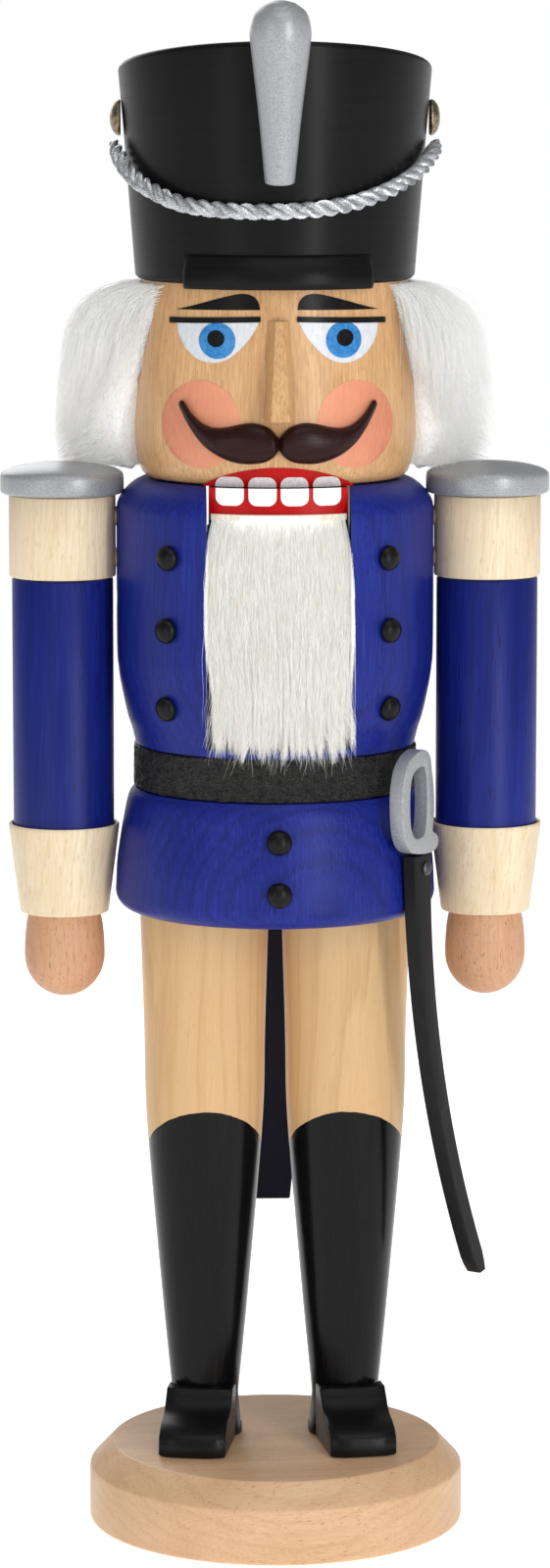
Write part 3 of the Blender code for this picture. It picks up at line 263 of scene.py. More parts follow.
white = rgb(250, 249, 246)
beech = woodMaterial("beechWood", light=rgb(213, 173, 133), dark=rgb(189, 145, 104), pale=rgb(228, 195, 157),
                     spot=rgb(160, 108, 70), pith=(60, 40, -110), turn=(0, 86, 12), ring=3.2,
                     pore=(0.28, 0.28, 1.9), fleck=0.75, mark=0.45, gloss=0.4)
skinWood = woodMaterial("skinWood", light=rgb(196, 146, 94), dark=rgb(166, 116, 68), pale=rgb(226, 184, 132),
                        spot=rgb(148, 98, 56), pith=(16, 60, 0), ring=2.6, waver=4.0, streak=1.0, fleck=0.5,
                        mark=0.4, gloss=0.36, coat=0.25, relief=1.8)
honeyWood = woodMaterial("honeyWood", light=rgb(230, 196, 146), dark=rgb(210, 168, 114),
                         pale=rgb(240, 212, 168), spot=rgb(192, 146, 96), pith=(4, 40, 0), turn=(3, 2, 0),
                         ring=3.4, waver=5.0, streak=0.6, fleck=0.25, gloss=0.36, coat=0.15)
mapleWood = woodMaterial("mapleWood", light=rgb(228, 207, 172), dark=rgb(206, 180, 140),
                         pale=rgb(242, 228, 202), spot=rgb(184, 154, 112), pith=(-20, 46, 0), turn=(2, 3, 0),
                         ring=2.4, waver=3.0, streak=0.9, fleck=0.5, gloss=0.42)
handWood = woodMaterial("handWood", light=rgb(204, 154, 118), dark=rgb(182, 128, 92), pale=rgb(216, 172, 138),
                        spot=rgb(112, 66, 44), pith=(14, 30, 0), turn=(4, -3, 0), ring=2.0,
                        pore=(0.33, 0.33, 2.8), fleck=0.75, gloss=0.5)
jacketPaint = paintMaterial("jacketPaint", base=rgb(22, 36, 128), pale=rgb(46, 66, 164), deep=rgb(8, 15, 74),
                            pith=(-10, 34, 0), turn=(1.5, 1, 0), ring=1.5, waver=2.6, show=0.5, fleck=0.95,
                            pore=(0.36, 0.36, 2.0), porous=True, gloss=0.34, relief=2.6, shine=0.2)
sleevePaint = paintMaterial("sleevePaint", base=rgb(20, 34, 122), pale=rgb(44, 62, 156), deep=rgb(5, 9, 44),
                            pith=(-30, 60, 0), turn=(0.6, 0.6, 0), ring=4.2, waver=1.5, show=0.3, fleck=0.95,
                            pore=(0.36, 0.36, 4.5), porous=True, gloss=0.34, relief=1.8, shine=0.22)
leverPaint = paintMaterial("leverPaint", base=rgb(9, 11, 36), pale=rgb(18, 22, 58), deep=rgb(4, 5, 16),
                           pith=(30, 70, 0), ring=3.0, show=0.35, fleck=0.5, porous=True, gloss=0.4,
                           shine=0.25)
blackPaint = paintMaterial("blackPaint", base=rgb(15, 15, 17), pale=rgb(30, 30, 33), deep=rgb(7, 7, 8),
                           pith=(20, 50, 0), ring=2.2, show=0.2, fleck=0.3, gloss=0.26, relief=0.5, shine=0.17)
scabbardPaint = paintMaterial("scabbardPaint", base=rgb(20, 20, 21), pale=rgb(40, 40, 42), deep=rgb(8, 8, 9),
                              pith=(60, 40, 0), ring=2.0, show=0.3, fleck=0.6, gloss=0.5, relief=1.2,
                              shine=0.2)
redPaint = paintMaterial("redPaint", base=rgb(182, 8, 8), pale=rgb(200, 26, 20), deep=rgb(134, 4, 6), ring=3.0,
                         show=0.25, fleck=0.2, gloss=0.28, relief=0.6, shine=0.15)
moustachePaint = paintMaterial("moustachePaint", base=rgb(38, 14, 12), pale=rgb(56, 24, 20), deep=rgb(18, 7, 6),
                               turn=(0, 90, 0), ring=2.0, show=0.25, fleck=0.3, gloss=0.24, shine=0.16,
                               relief=2.2)


def fineMaterial(name, **fine):
    # smooth hand-brushed paint with a little mottle and brush drag
    material, shader = newMaterial(name, Specular_IOR_Level=fine.get("shine", 0.4),
                                   Metallic=fine.get("metal", 0.0))
    mottle = noiseOf(material, space(material, stretch=fine.get("mottle", (0.9, 0.9, 1.4))), 4.0, 0.65)
    drag = noiseOf(material, space(material, turn=fine.get("drag", (0, 90, 0)), stretch=(0.25, 0.25, 6)), 2.0,
                   0.5)
    colour = ramp(material, mottle, (0.28, fine["deep"]), (0.5, fine["base"]), (0.75, fine["pale"]))
    colour = over(material, colour, drag, (0.5, 0.0), (0.75, 0.35), fine["pale"])
    gloss = fine.get("gloss", 0.35)
    dress(material, shader, colour, ramp(material, mottle, (0.25, gloss - 0.05), (0.75, gloss + 0.1)))
    bump(material, shader, (mottle, 0.25, fine.get("relief", 0.03)), (drag, 0.2, 0.02))
    return material


eyeWhite = fineMaterial("eyeWhite", base=rgb(212, 215, 220), pale=rgb(224, 226, 230), deep=rgb(198, 202, 208),
                        gloss=0.3)
irisBlue = fineMaterial("irisBlue", base=rgb(40, 124, 190), pale=rgb(64, 148, 210), deep=rgb(28, 102, 166),
                        gloss=0.25, mottle=(1.6, 1.6, 1.6))
inkBlack = fineMaterial("inkBlack", base=rgb(12, 12, 13), pale=rgb(24, 23, 24), deep=rgb(6, 6, 7), gloss=0.3,
                        shine=0.15)
toothWhite = fineMaterial("toothWhite", base=rgb(242, 242, 240), pale=white, deep=rgb(224, 224, 222),
                          gloss=0.22)
# the tooth white with painted shade, for the upper halves under the head's rounded underside
toothPaintedShade = fineMaterial("toothPaintedShade", base=rgb(222, 214, 216), pale=rgb(236, 230, 230),
                          deep=rgb(204, 192, 196), gloss=0.25)
silverPaint = fineMaterial("silverPaint", base=rgb(154, 156, 159), pale=rgb(182, 184, 187),
                           deep=rgb(124, 126, 130), metal=0.3, gloss=0.34, mottle=(0.34, 0.34, 0.34),
                           relief=0.05, shine=0.6)
bronze = fineMaterial("darkBronze", base=rgb(118, 104, 84), pale=rgb(176, 160, 132), deep=rgb(58, 48, 38),
                      metal=0.9, gloss=0.26, mottle=(1.2, 1.2, 1.2), relief=0.05)
steel = fineMaterial("pinSteel", base=rgb(160, 162, 165), pale=rgb(196, 198, 200), deep=rgb(120, 122, 126),
                     metal=1.0, gloss=0.3)
nailSteel = fineMaterial("nailSteel", base=rgb(72, 74, 76), pale=rgb(120, 122, 124), deep=rgb(38, 39, 41),
                         metal=0.6, gloss=0.35)
furSkin = fineMaterial("furSkin", base=rgb(226, 216, 196), pale=rgb(238, 232, 218), deep=rgb(206, 192, 166),
                       gloss=0.75, shine=0.2)


def cheekMaterial():
    # blush, darker and redder towards the outer side of the face: painted shade where the face turns away
    material, shader = newMaterial("cheekPaint", Specular_IOR_Level=0.35)
    mottle = noiseOf(material, space(material, stretch=(0.8, 0.8, 3.0)), 4.0, 0.6)
    place = addNode(material, "SeparateXYZ", {"Vector": space(material, stretch=(28, 28, 28))})
    side = math(material, "ABSOLUTE", place.outputs["X"])
    # the darker outer colours are painted shade
    colour = ramp(material, side, (0.3, rgb(224, 150, 116)), (0.72, rgb(218, 138, 106)),
                  (1.0, rgb(198, 120, 90)))
    colour = over(material, colour, mottle, (0.35, 0.0), (0.7, 0.3), rgb(232, 172, 136))
    dress(material, shader, colour, ramp(material, mottle, (0.3, 0.4), (0.7, 0.52)))
    bump(material, shader, (mottle, 0.3, 0.04))
    return material


def hatMaterial():
    # black paint over turning lines
    material, shader = newMaterial("hatPaint", Specular_IOR_Level=0.12)
    turning = noiseOf(material, space(material, stretch=(60, 60, 0.35)), 3.0, 0.6)
    dust = noiseOf(material, space(material, stretch=(0.4, 0.4, 0.4)), 2.0, 0.5)
    colour = ramp(material, turning, (0.3, rgb(13, 13, 14)), (0.72, rgb(20, 20, 22)))
    colour = over(material, colour, dust, (0.68, 0.0), (0.8, 0.5), rgb(52, 52, 55))
    dress(material, shader, colour, ramp(material, turning, (0.3, 0.3), (0.7, 0.36)))
    bump(material, shader, (turning, 0.12, 0.05), (dust, 0.15, 0.02))
    return material


def bootMaterial():
    # a leg dipped in gloss black up to a slanted line, bare wood above it
    boot = {"line": 96.95, "rise": 0.78}  # the paint's edge at the leg's middle, and its slope
    material, shader = newMaterial("bootPaint", Specular_IOR_Level=0.16)
    wood = {"pith": (4, 40, 0), "turn": (3, 2, 0), "ring": 3.4, "waver": 5.0}
    rings, fibres, pores, broad = grain(material, wood)
    bare = ramp(material, rings, (0.0, rgb(210, 174, 128)), (0.62, rgb(211, 175, 129)),
                (0.93, rgb(197, 158, 112)), (1.0, rgb(210, 174, 128)))
    bare = over(material, bare, fibres, (0.34, 0.0), (0.68, 0.5), rgb(221, 188, 144))
    bare = over(material, bare, broad, (0.3, 0.0), (0.75, 0.45), rgb(208, 166, 112))
    bare = over(material, bare, pores, (0.64, 0.0), (0.74, 0.3), rgb(188, 140, 92))
    dip = ramp(material, fibres, (0.35, rgb(11, 11, 12)), (0.7, rgb(18, 18, 20)))
    place = addNode(material, "SeparateXYZ", {"Vector": space(material, (0, midY, boot["line"]))})
    slant = math(material, "MULTIPLY", place.outputs["Y"], boot["rise"])
    height = math(material, "ADD", place.outputs["Z"], slant)
    wander = math(material, "MULTIPLY", noiseOf(material, space(material, stretch=(5, 5, 5)), 2.0), 0.8)
    mask = ramp(material, math(material, "ADD", height, wander), (0.0, 0.0), (0.12, 1.0))
    wire(material, mix(material, mask, dip, bare), shader.inputs["Base Color"])
    dull = ramp(material, fibres, (0.2, 0.32), (0.8, 0.44))
    shiny = ramp(material, fibres, (0.2, 0.17), (0.8, 0.26))
    wire(material, mix(material, mask, shiny, dull), shader.inputs["Roughness"])
    orange = noiseOf(material, space(material, stretch=(0.8, 0.8, 0.8)), 2.0, 0.5)
    bump(material, shader, (mask, 0.5, -0.1), (fibres, 0.25, 0.04), (pores, 0.2, 0.03), (orange, 0.12, 0.05))
    return material


def leatherMaterial():
    # a skin of small pebbles between long wandering creases, painted shade in the creases, painted highlights
    # on top
    material, shader = newMaterial("beltLeather", Specular_IOR_Level=0.35)
    creases = noiseOf(material, space(material, stretch=(2.4, 2.4, 1.5)), 5.0, 0.6)
    cells = addNode(material, "TexVoronoi", {"Vector": space(material, stretch=(0.85, 0.85, 0.7)),
                                             "Scale": 1.0}, feature="DISTANCE_TO_EDGE").outputs["Distance"]
    pebble = ramp(material, cells, (0.0, 0.0), (0.25, 1.0))
    ridge = ramp(material, creases, (0.42, 0.0), (0.5, 1.0), (0.56, 0.25), (0.7, 0.8))
    # painted light: near-black in the creases for painted shade, lighter ridges and pebble tops for painted
    # highlights
    colour = mix(material, ridge, rgb(5, 5, 5), rgb(34, 33, 32))
    colour = mix(material, math(material, "MULTIPLY", pebble, ridge), colour, rgb(62, 60, 58))
    dress(material, shader, colour, ramp(material, creases, (0.3, 0.5), (0.75, 0.36)))
    bump(material, shader, (ridge, 0.8, 0.4), (pebble, 0.8, 0.2))
    return material


def furMaterial(name, light, shade, tint):
    # the faint glow stands for light passed on from hair to hair
    material, shader = newMaterial(name, Specular_IOR_Level=0.3, Sheen_Weight=0.2, Sheen_Roughness=0.5,
                                   Subsurface_Weight=0.2, Subsurface_Scale=0.002, Emission_Strength=0.09)
    fine = noiseOf(material, space(material, stretch=(0.35, 0.35, 5)), 2.0, 0.5)
    locks = noiseOf(material, space(material, stretch=(3.2, 3.2, 14)), 2.0, 0.5)
    colour = ramp(material, fine, (0.3, shade), (0.6, light), (0.8, light))
    colour = over(material, colour, locks, (0.42, 0.0), (0.7, 0.5), tint)
    wire(material, colour, shader.inputs["Emission Color"])
    dress(material, shader, colour, ramp(material, fine, (0.3, 0.55), (0.7, 0.8)))
    bump(material, shader, (fine, 0.5, 0.2), (locks, 0.5, 0.5))
    return material


def cordMaterial():
    material, shader = newMaterial("silverCord", Metallic=0.75, Specular_IOR_Level=0.5)
    glint = noiseOf(material, space(material, stretch=(0.3, 0.3, 0.3)), 2.0, 0.6)
    colour = ramp(material, glint, (0.3, rgb(120, 122, 128)), (0.5, rgb(186, 188, 192)),
                  (0.7, rgb(240, 240, 242)))
    dress(material, shader, colour, ramp(material, glint, (0.3, 0.42), (0.7, 0.26)))
    bump(material, shader, (glint, 0.4, 0.04))
    return material


def lightWorld():
    # white at the horizon, softer overhead
    nodes, links = world.node_tree.nodes, world.node_tree.links
    way = nodes.new("ShaderNodeTexCoord")
    split = nodes.new("ShaderNodeSeparateXYZ")
    lift = nodes.new("ShaderNodeMath")
    lift.operation = "ABSOLUTE"
    shade = nodes.new("ShaderNodeValToRGB")
    shade.color_ramp.elements[0].position, shade.color_ramp.elements[0].color = 0.03, (1.0, 1.0, 1.0, 1.0)
    shade.color_ramp.elements[1].position, shade.color_ramp.elements[1].color = 0.13, (0.28, 0.28, 0.28, 1.0)
    links.new(way.outputs["Generated"], split.inputs[0])
    links.new(split.outputs["Z"], lift.inputs[0])
    links.new(lift.outputs[0], shade.inputs["Fac"])
    links.new(shade.outputs["Color"], nodes["Background"].inputs["Color"])


lightWorld()


def floorMaterial():
    material, shader = newMaterial("floorPaper", Roughness=0.9, Specular_IOR_Level=0.1, Emission_Strength=0.66,
                                   Emission_Color=(1.0, 1.0, 1.0, 1.0))
    tooth = noiseOf(material, space(material, stretch=(1.5, 1.5, 1.5)), 3.0)
    wire(material, ramp(material, tooth, (0.3, rgb(247, 247, 247)), (0.7, rgb(250, 250, 250))),
         shader.inputs["Base Color"])
    return material


cheekPaint, hatPaint, bootPaint = cheekMaterial(), hatMaterial(), bootMaterial()
beltLeather, silverCord = leatherMaterial(), cordMaterial()
whiteFur = furMaterial("whiteFur", rgb(252, 252, 251), rgb(226, 225, 222), rgb(238, 236, 230))
warmFur = furMaterial("warmFur", rgb(252, 251, 247), rgb(228, 224, 214), rgb(240, 236, 226))
print("materials made")

floorMesh = bmesh.new()
bmesh.ops.create_grid(floorMesh, x_segments=2, y_segments=2, size=30)
floorData = bpy.data.meshes.new("studioFloor")
floorMesh.to_mesh(floorData)
floorMesh.free()
floorData.materials.append(floorMaterial())
studioFloor = bpy.data.objects.new("studioFloor", floorData)
addToScene(studioFloor)


# shapes: the tools that several pieces share

def smoothLine(points, steps=6):
    # a smooth line through the points
    p = [Vector(q) for q in points]
    p = [2 * p[0] - p[1], *p, 2 * p[-1] - p[-2]]
    out = []
    for a, b, c, d in zip(p, p[1:], p[2:], p[3:]):
        for i in range(steps):
            t = i / steps
            square, cube = 2 * a - 5 * b + 4 * c - d, 3 * b - a - 3 * c + d
            out.append(0.5 * (2 * b + (c - a) * t + square * t ** 2 + cube * t ** 3))
    return [tuple(q) for q in out] + [tuple(p[-2])]


def arc(middle, radius, start, end, steps):
    angles = [radians(start + (end - start) * i / steps) for i in range(steps + 1)]
    return [(middle[0] + radius * cos(a), middle[1] + radius * sin(a)) for a in angles]


def turned(profile, sides=96, at=(0.0, None)):
    # spin a profile of (radius, height) in millimetres about the vertical line through at
    x, y = at[0] * mm, axisY if at[1] is None else at[1] * mm
    bm = bmesh.new()
    verts = [bm.verts.new((x + r * mm, y, z * mm)) for r, z in profile]
    edges = [bm.edges.new(pair) for pair in zip(verts, verts[1:])]
    bmesh.ops.spin(bm, geom=verts + edges, cent=(x, y, 0), axis=(0, 0, 1), angle=2 * pi, steps=sides,
                   use_merge=True)
    return tidied(bm)


def tidied(bm):
    bmesh.ops.remove_doubles(bm, verts=bm.verts, dist=2e-6)
    bmesh.ops.recalc_face_normals(bm, faces=bm.faces)
    return bm


def placed(name, mesh, material, body, stands):
    # an object of the mesh with its material, tied to its body, with the frame's node it stands for hidden
    mesh.materials.clear()
    mesh.materials.append(material)
    mesh.shade_smooth()
    o = bpy.data.objects.new(name, mesh)
    addToScene(o)
    if body:
        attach(o, body)
    if stands:
        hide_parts(stands)
    return o


def piece(name, bm, material, body="figure", stands=None, sharp=32):
    mesh = bpy.data.meshes.new(name)
    bm.to_mesh(mesh)
    bm.free()
    o = placed(name, mesh, material, body, stands)
    mesh.set_sharp_from_angle(angle=radians(sharp))
    return o


def threadCurve(name):
    curve = bpy.data.curves.new(name, "CURVE")
    curve.dimensions = "3D"
    curve.bevel_depth, curve.bevel_resolution, curve.use_fill_caps = mm, 0, True
    return curve


def meshOf(curve):
    holder = bpy.data.objects.new(curve.name + "Curve", curve)
    addToScene(holder)
    mesh = bpy.data.meshes.new_from_object(holder.evaluated_get(bpy.context.evaluated_depsgraph_get()))
    bpy.data.objects.remove(holder)
    return mesh


def carved(bm, *tools):
    # the shape with each tool's shape taken away
    for tool in tools:
        objects = []
        for part in (bm, tool):
            mesh = bpy.data.meshes.new("carving")
            part.to_mesh(mesh)
            part.free()
            o = bpy.data.objects.new("carving", mesh)
            addToScene(o)
            objects.append(o)
        change = objects[0].modifiers.new("cut", "BOOLEAN")
        change.operation, change.solver, change.object = "DIFFERENCE", "EXACT", objects[1]
        bm = bmesh.new()
        bm.from_mesh(objects[0].evaluated_get(bpy.context.evaluated_depsgraph_get()).to_mesh())
        for o in objects:
            bpy.data.meshes.remove(o.data)
    return bm


def softened(bm, width, angle=32, segments=2):
    # round every edge that is sharper than the angle
    edges = [e for e in bm.edges if len(e.link_faces) == 2 and e.calc_face_angle() > radians(angle)]
    bmesh.ops.bevel(bm, geom=edges, offset=width * mm, offset_type="OFFSET", segments=segments, profile=0.5,
                    affect="EDGES", clamp_overlap=True, material=-1)
    return bm


def block(low, high):
    bm = bmesh.new()
    size, middle = Vector(high) - Vector(low), (Vector(high) + Vector(low)) / 2
    bmesh.ops.create_cube(bm, size=mm, matrix=Matrix.Translation(middle * mm) @ Matrix.Diagonal((*size, 1)))
    return bm


def rod(radius, start, end, sides=32):
    a, b = Vector(start) * mm, Vector(end) * mm
    bm = bmesh.new()
    place = Matrix.Translation((a + b) / 2) @ (b - a).to_track_quat("Z", "Y").to_matrix().to_4x4()
    bmesh.ops.create_cone(bm, cap_ends=True, segments=sides, radius1=radius * mm, radius2=radius * mm,
                          depth=(b - a).length, matrix=place)
    return bm


def lofted(rings):
    # bridge rings of points, in millimetres, and close both ends
    bm = bmesh.new()
    loops = []
    for ring in rings:
        verts = [bm.verts.new(Vector(p) * mm) for p in ring]
        loops.append([bm.edges.new(pair) for pair in zip(verts, verts[1:] + verts[:1])])
    for a, b in zip(loops, loops[1:]):
        bmesh.ops.bridge_loops(bm, edges=a + b)
    for loop in (loops[0], loops[-1]):
        bmesh.ops.contextual_create(bm, geom=loop)
    return tidied(bm)


def sawn(outline, half, cuts):
    # a board sawn to an outline of (y, z) points in millimetres, with the given number of slices across it
    bm = bmesh.new()
    face = bm.faces.new([bm.verts.new((-half * mm, y * mm, z * mm)) for y, z in outline])
    out = bmesh.ops.extrude_face_region(bm, geom=[face])["geom"]
    bmesh.ops.translate(bm, verts=[v for v in out if isinstance(v, bmesh.types.BMVert)],
                        vec=(2 * half * mm, 0, 0))
    for i in range(1, cuts):
        x = (-half + 2 * half * i / cuts) * mm
        bmesh.ops.bisect_plane(bm, geom=bm.verts[:] + bm.edges[:] + bm.faces[:], plane_co=(x, 0, 0),
                               plane_no=(1, 0, 0))
    bmesh.ops.recalc_face_normals(bm, faces=bm.faces)
    return bm


def around(radius, angle, z):
    # a point in millimetres at a radius from the figure's axis, the angle from the front towards its left
    a = radians(angle)
    return Vector((radius * sin(a), midY - radius * cos(a), z))


# base, legs and shoes

baseSize = {"radius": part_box("base_plate")[1].x / mm, "topRadius": 42.3, "edge": 14.2, "hole": 4.1,
            "holeDeep": 1.2}


def makeBase():
    r, top, edge, high = baseSize["radius"], topOf("base_plate"), baseSize["edge"], baseSize["topRadius"]
    profile = [(0, 0), (r - 1.2, 0), *arc((r - 1.2, 1.2), 1.2, -90, 0, 5)]
    profile += smoothLine([(r, edge - 1.0), (r - 0.15, edge), (r - 0.7, edge + 0.75)], 4)
    profile += smoothLine([(high + 0.8, top - 0.75), (high + 0.1, top - 0.15), (high - 0.7, top)], 4)
    profile += [(0, top)]
    bm = turned(profile, 144, (0, 0))
    for x in (-middleOf("leg_left"), middleOf("leg_left")):
        bm = carved(bm, rod(baseSize["hole"], (x, midY, -1), (x, midY, baseSize["holeDeep"])))
    piece("base", bm, beech, stands="base_plate")


legSize = {"x": 18.2, "top": 16.6, "knee": 15.0, "ankle": 8.6, "flange": 9.6, "flangeHeight": 2.4}


def makeLeg(side, name):
    x = side * legSize["x"]
    top, foot = hemZ - 0.3, lowOf("leg_" + name)
    start = foot + legSize["flangeHeight"]
    span = top - start
    line = smoothLine([(legSize["top"], top), (legSize["top"] * 0.4 + legSize["knee"] * 0.6,
                                               start + span * 0.77), (legSize["knee"], start + span * 0.59),
                       (legSize["knee"] * 0.45 + legSize["ankle"] * 0.55, start + span * 0.28),
                       (legSize["ankle"], start + span * 0.06)], 10)
    flange = legSize["flange"]
    profile = [(0, top + 2), (legSize["top"] - 1.5, top + 2), (legSize["top"] - 1.5, top), *line,
               (flange - 0.4, start + 0.1), (flange, start - 0.4), (flange, foot), (0, foot)]
    piece("leg" + name.title(), turned(profile, 72, (x, None)), bootPaint, stands="leg_" + name,
          sharp=50)


shoeSize = {"back": 2.9, "flatEnd": 11.0, "toe": 27.8, "toeTop": 7.4, "half": 8.6, "narrows": 1.5, "turn": 8.5}


def makeShoe(side, name):
    low, high, x = lowOf("foot_" + name), topOf("foot_" + name), side * legSize["x"]
    back, toe, half = shoeSize["back"], shoeSize["toe"], shoeSize["half"]
    flatEnd, toeTop = shoeSize["flatEnd"], low + shoeSize["toeTop"]
    upper = smoothLine([(flatEnd, high), (flatEnd + 2.4, high - 2.2), (flatEnd + 6.0, high - 5.0),
                        (toe - 4.4, toeTop - 0.2), (toe - 1.0, toeTop - 2.2), (toe, low + 3.0)], 8)
    outline = [(-r, z) for r, z in [(back, low), (back, high), *upper, (toe, low)]]
    bm = sawn(outline, half, 14)
    for v in bm.verts:
        r, across = -v.co.y / mm, v.co.x / mm / half
        v.co.y += shoeSize["narrows"] * mm * across ** 4 * (r - back) / (toe - back)
    softened(bm, 0.45, 40, 3)
    turn = Matrix.Rotation(side * radians(shoeSize["turn"]), 4, "Z")
    bm.transform(Matrix.Translation((x * mm, axisY, 0)) @ turn)
    cup = rod(legSize["flange"] + 0.3, (x, midY, low - 1), (x, midY, high + 1), 64)
    piece("shoe" + name.title(), carved(bm, cup), blackPaint, stands="foot_" + name,
          sharp=40)


# jacket, belt and buttons

jacket = {"skirt": 41.0, "corner": 4.6, "skirtTop": 36.7, "waist": 35.7, "chest": 40.4, "chestZ": neckZ - 40.7,
          "shoulderZ": neckZ - 8.0, "neck": 34.0, "groove": 34.3, "slot": 17.95, "slotZ": neckZ - 65.9}
beltLow, beltTop = lowOf("belt"), topOf("belt")


def jacketLine(steps):
    skirt, corner, chest, waist = jacket["skirt"], jacket["corner"], jacket["chest"], jacket["waist"]
    lower = smoothLine([(skirt, hemZ + corner), (skirt * 0.985, hemZ + 14),
                        (skirt * 0.3 + jacket["skirtTop"] * 0.7, beltLow - 4.0),
                        (jacket["skirtTop"] - 0.5, beltLow - 0.3)], steps)
    start, rise = beltTop + 0.3, jacket["chestZ"] - beltTop - 0.3
    upper = smoothLine([(waist + (chest - waist) * out, start + rise * up) for out,
                        up in ((0, 0), (0.21, 0.15), (0.42, 0.26), (0.7, 0.48), (0.91, 0.7), (1, 1))]
                       + [(chest, jacket["shoulderZ"])], steps)
    fall, neck = neckZ - jacket["shoulderZ"], jacket["neck"]
    upper += [(neck + (chest - neck) * out, jacket["shoulderZ"] + fall * up) for out,
              up in ((0.97, 0.18), (0.89, 0.35), (0.71, 0.57), (0.48, 0.75), (0.24, 0.89))]
    return ([(0, hemZ)] + arc((skirt - corner, hemZ + corner), corner, -90, 0, 8) + lower[1:]
            + [(jacket["groove"], beltLow - 0.3), (jacket["groove"], beltTop + 0.3)] + upper
            + [(jacket["neck"], neckZ - 0.15), (0, neckZ - 0.15)])


def jacketRadius(z):
    line = jacketLine(8)
    for (r0, z0), (r1, z1) in zip(line, line[1:]):
        if z1 > z0 and z0 <= z <= z1:
            return r0 + (r1 - r0) * (z - z0) / (z1 - z0)
    return jacket["chest"]


def makeJacket():
    half, y = jacket["slot"], midY
    slot = block((-half, y - 60, jacket["slotZ"]), (half, y + 60, neckZ + 1))
    bm = carved(turned(jacketLine(8), 160), slot, rod(2.8, (-60, y, pinZ), (60, y, pinZ)))
    softened(tidied(bm), 0.35, 35, 2)
    piece("jacket", bm, jacketPaint, stands="torso", sharp=40)


beltSize = {"lift": 0.75, "sink": 0.35, "waver": 0.15, "edge": 0.6, "steps": 620}


def makeBelt():
    # a strip of leather, creased across, whose ends meet at the back
    inner, outer = jacket["groove"] + 0.3, jacket["waist"] + 0.45
    low, high, soft, steps, rings = beltLow, beltTop, beltSize["edge"], beltSize["steps"], []
    profile = [(inner, low), (outer - soft, low), *arc((outer - soft, low + soft), soft, -90, 0, 3)]
    profile += [(outer, low + soft + (high - low - 2 * soft) * i / 32) for i in range(1, 32)]
    profile += [*arc((outer - soft, high - soft), soft, 0, 90, 3), (inner, high)]
    for i in range(steps + 1):
        angle = -179.4 + 358.8 * i / steps
        ring = []
        for r, z in profile:
            fade = min(1.0, (r - inner) / 1.0)
            spot = Vector((angle * 0.63 * 0.42, z * 0.6, 0))
            spot += 0.8 * Vector((noise.noise(spot * 0.7), noise.noise(spot * 0.7 + Vector((9, 9, 0))), 0))
            crease = sum(share * abs(noise.noise(spot * size)) for share,
                         size in ((1, 1), (0.5, 2.1), (0.3, 4.6)))
            edge = beltSize["waver"] * noise.noise(Vector((angle * 0.2, 7, 0)))
            ring.append(around(r + fade * (beltSize["lift"] * min(crease, 0.6) - beltSize["sink"]), angle,
                               z + edge * fade))
        rings.append(ring)
    piece("belt", lofted(rings), beltLeather, stands="belt", sharp=70)


def bead(radius, dome, place, way, sides=40, flat=0.94, depth=0.3):
    # a domed head on a short neck, seated at place and pointing along way
    profile = [(0, dome)] + [(radius * cos(radians(a)), dome * sin(radians(a))) for a in range(84, -1, -7)]
    profile += [(radius * 0.985, -0.12), (radius * flat, -depth), (0, -depth)]
    bm = turned(profile, sides, (0, 0))
    turn = Vector(way).to_track_quat("Z", "Y").to_matrix().to_4x4()
    bm.transform(Matrix.Translation(Vector(place) * mm) @ turn)
    return bm


def makeButtons():
    places = []
    for drop, angle in ((18.0, 42.3), (36.2, 43.1), (56.1, 45.4)):
        places += [(-angle, neckZ - drop), (angle, neckZ - drop)]
    places += [(0.0, hemZ + 22.3), (0.0, hemZ + 9.3)]
    for i, (angle, z) in enumerate(places, 1):
        slope = (jacketRadius(z + 1) - jacketRadius(z - 1)) / 2
        way = (around(1, angle, 0) - Vector((0, midY, slope))).normalized()
        seat = around(jacketRadius(z), angle, z) + way * 0.65
        piece(f"button{i}", bead(3.2, 2.3, seat, way), blackPaint, stands=f"button_{i}",
              sharp=50)


makeBase()
for side, name in bothSides:
    makeLeg(side, name)
    makeShoe(side, name)
makeJacket()
makeBelt()
makeButtons()
print("base, legs, shoes, jacket, belt and buttons made")

# head and face

headSize = {"neck": 33.3, "wide": 35.8, "wideZ": neckZ + 13.4, "top": 33.6}


def headRadius(z):
    if z < headSize["wideZ"]:
        t = (headSize["wideZ"] - z) / (headSize["wideZ"] - neckZ)
        return headSize["wide"] - (headSize["wide"] - headSize["neck"]) * t ** 2
    t = (z - headSize["wideZ"]) / (headTopZ - headSize["wideZ"])
    return headSize["wide"] - (headSize["wide"] - headSize["top"]) * t ** 1.6


def makeHead():
    low, neck = lowOf("head"), headSize["neck"]
    heights = [low + 1.6 + (headTopZ - low - 1.6) * i / 24 for i in range(25)]
    under = [(neck - 1.8, low + 0.05), (neck - 0.7, low + 0.4), (headRadius(low + 1.6), low + 1.6)]
    profile = [(0, low), (neck - 2.2, low), *smoothLine(under, 4)]
    profile += [(headRadius(z), z) for z in heights[1:]] + [(0, headTopZ)]
    piece("head", turned(profile, 144), skinWood, stands="head")


noseSize = {"half": (2.6, 3.8), "left": (0.9, 2.2), "right": (1.1, 2.5), "out": (2.0, 8.5)}  # top, bottom


def makeNose():
    top, low, rings = topOf("nose"), lowOf("nose"), []
    for i in range(9):
        t = i / 8
        z = top + (low - top) * t
        half, left, right = (a + (b - a) * t for a, b in (noseSize[key] for key in ("half", "left", "right")))
        back = midY - headRadius(z) - 0.1
        tip = back - noseSize["out"][0] - (noseSize["out"][1] - noseSize["out"][0]) * t ** 0.9
        rings.append([(-half, back, z), (-half, back - 0.2, z), (-left, tip, z), (right, tip, z),
                      (half, back - 0.4, z), (half, back, z)])
    bm = lofted(rings)
    softened(bm, 0.08, 12, 1)
    piece("nose", bm, skinWood, stands="nose", sharp=12)


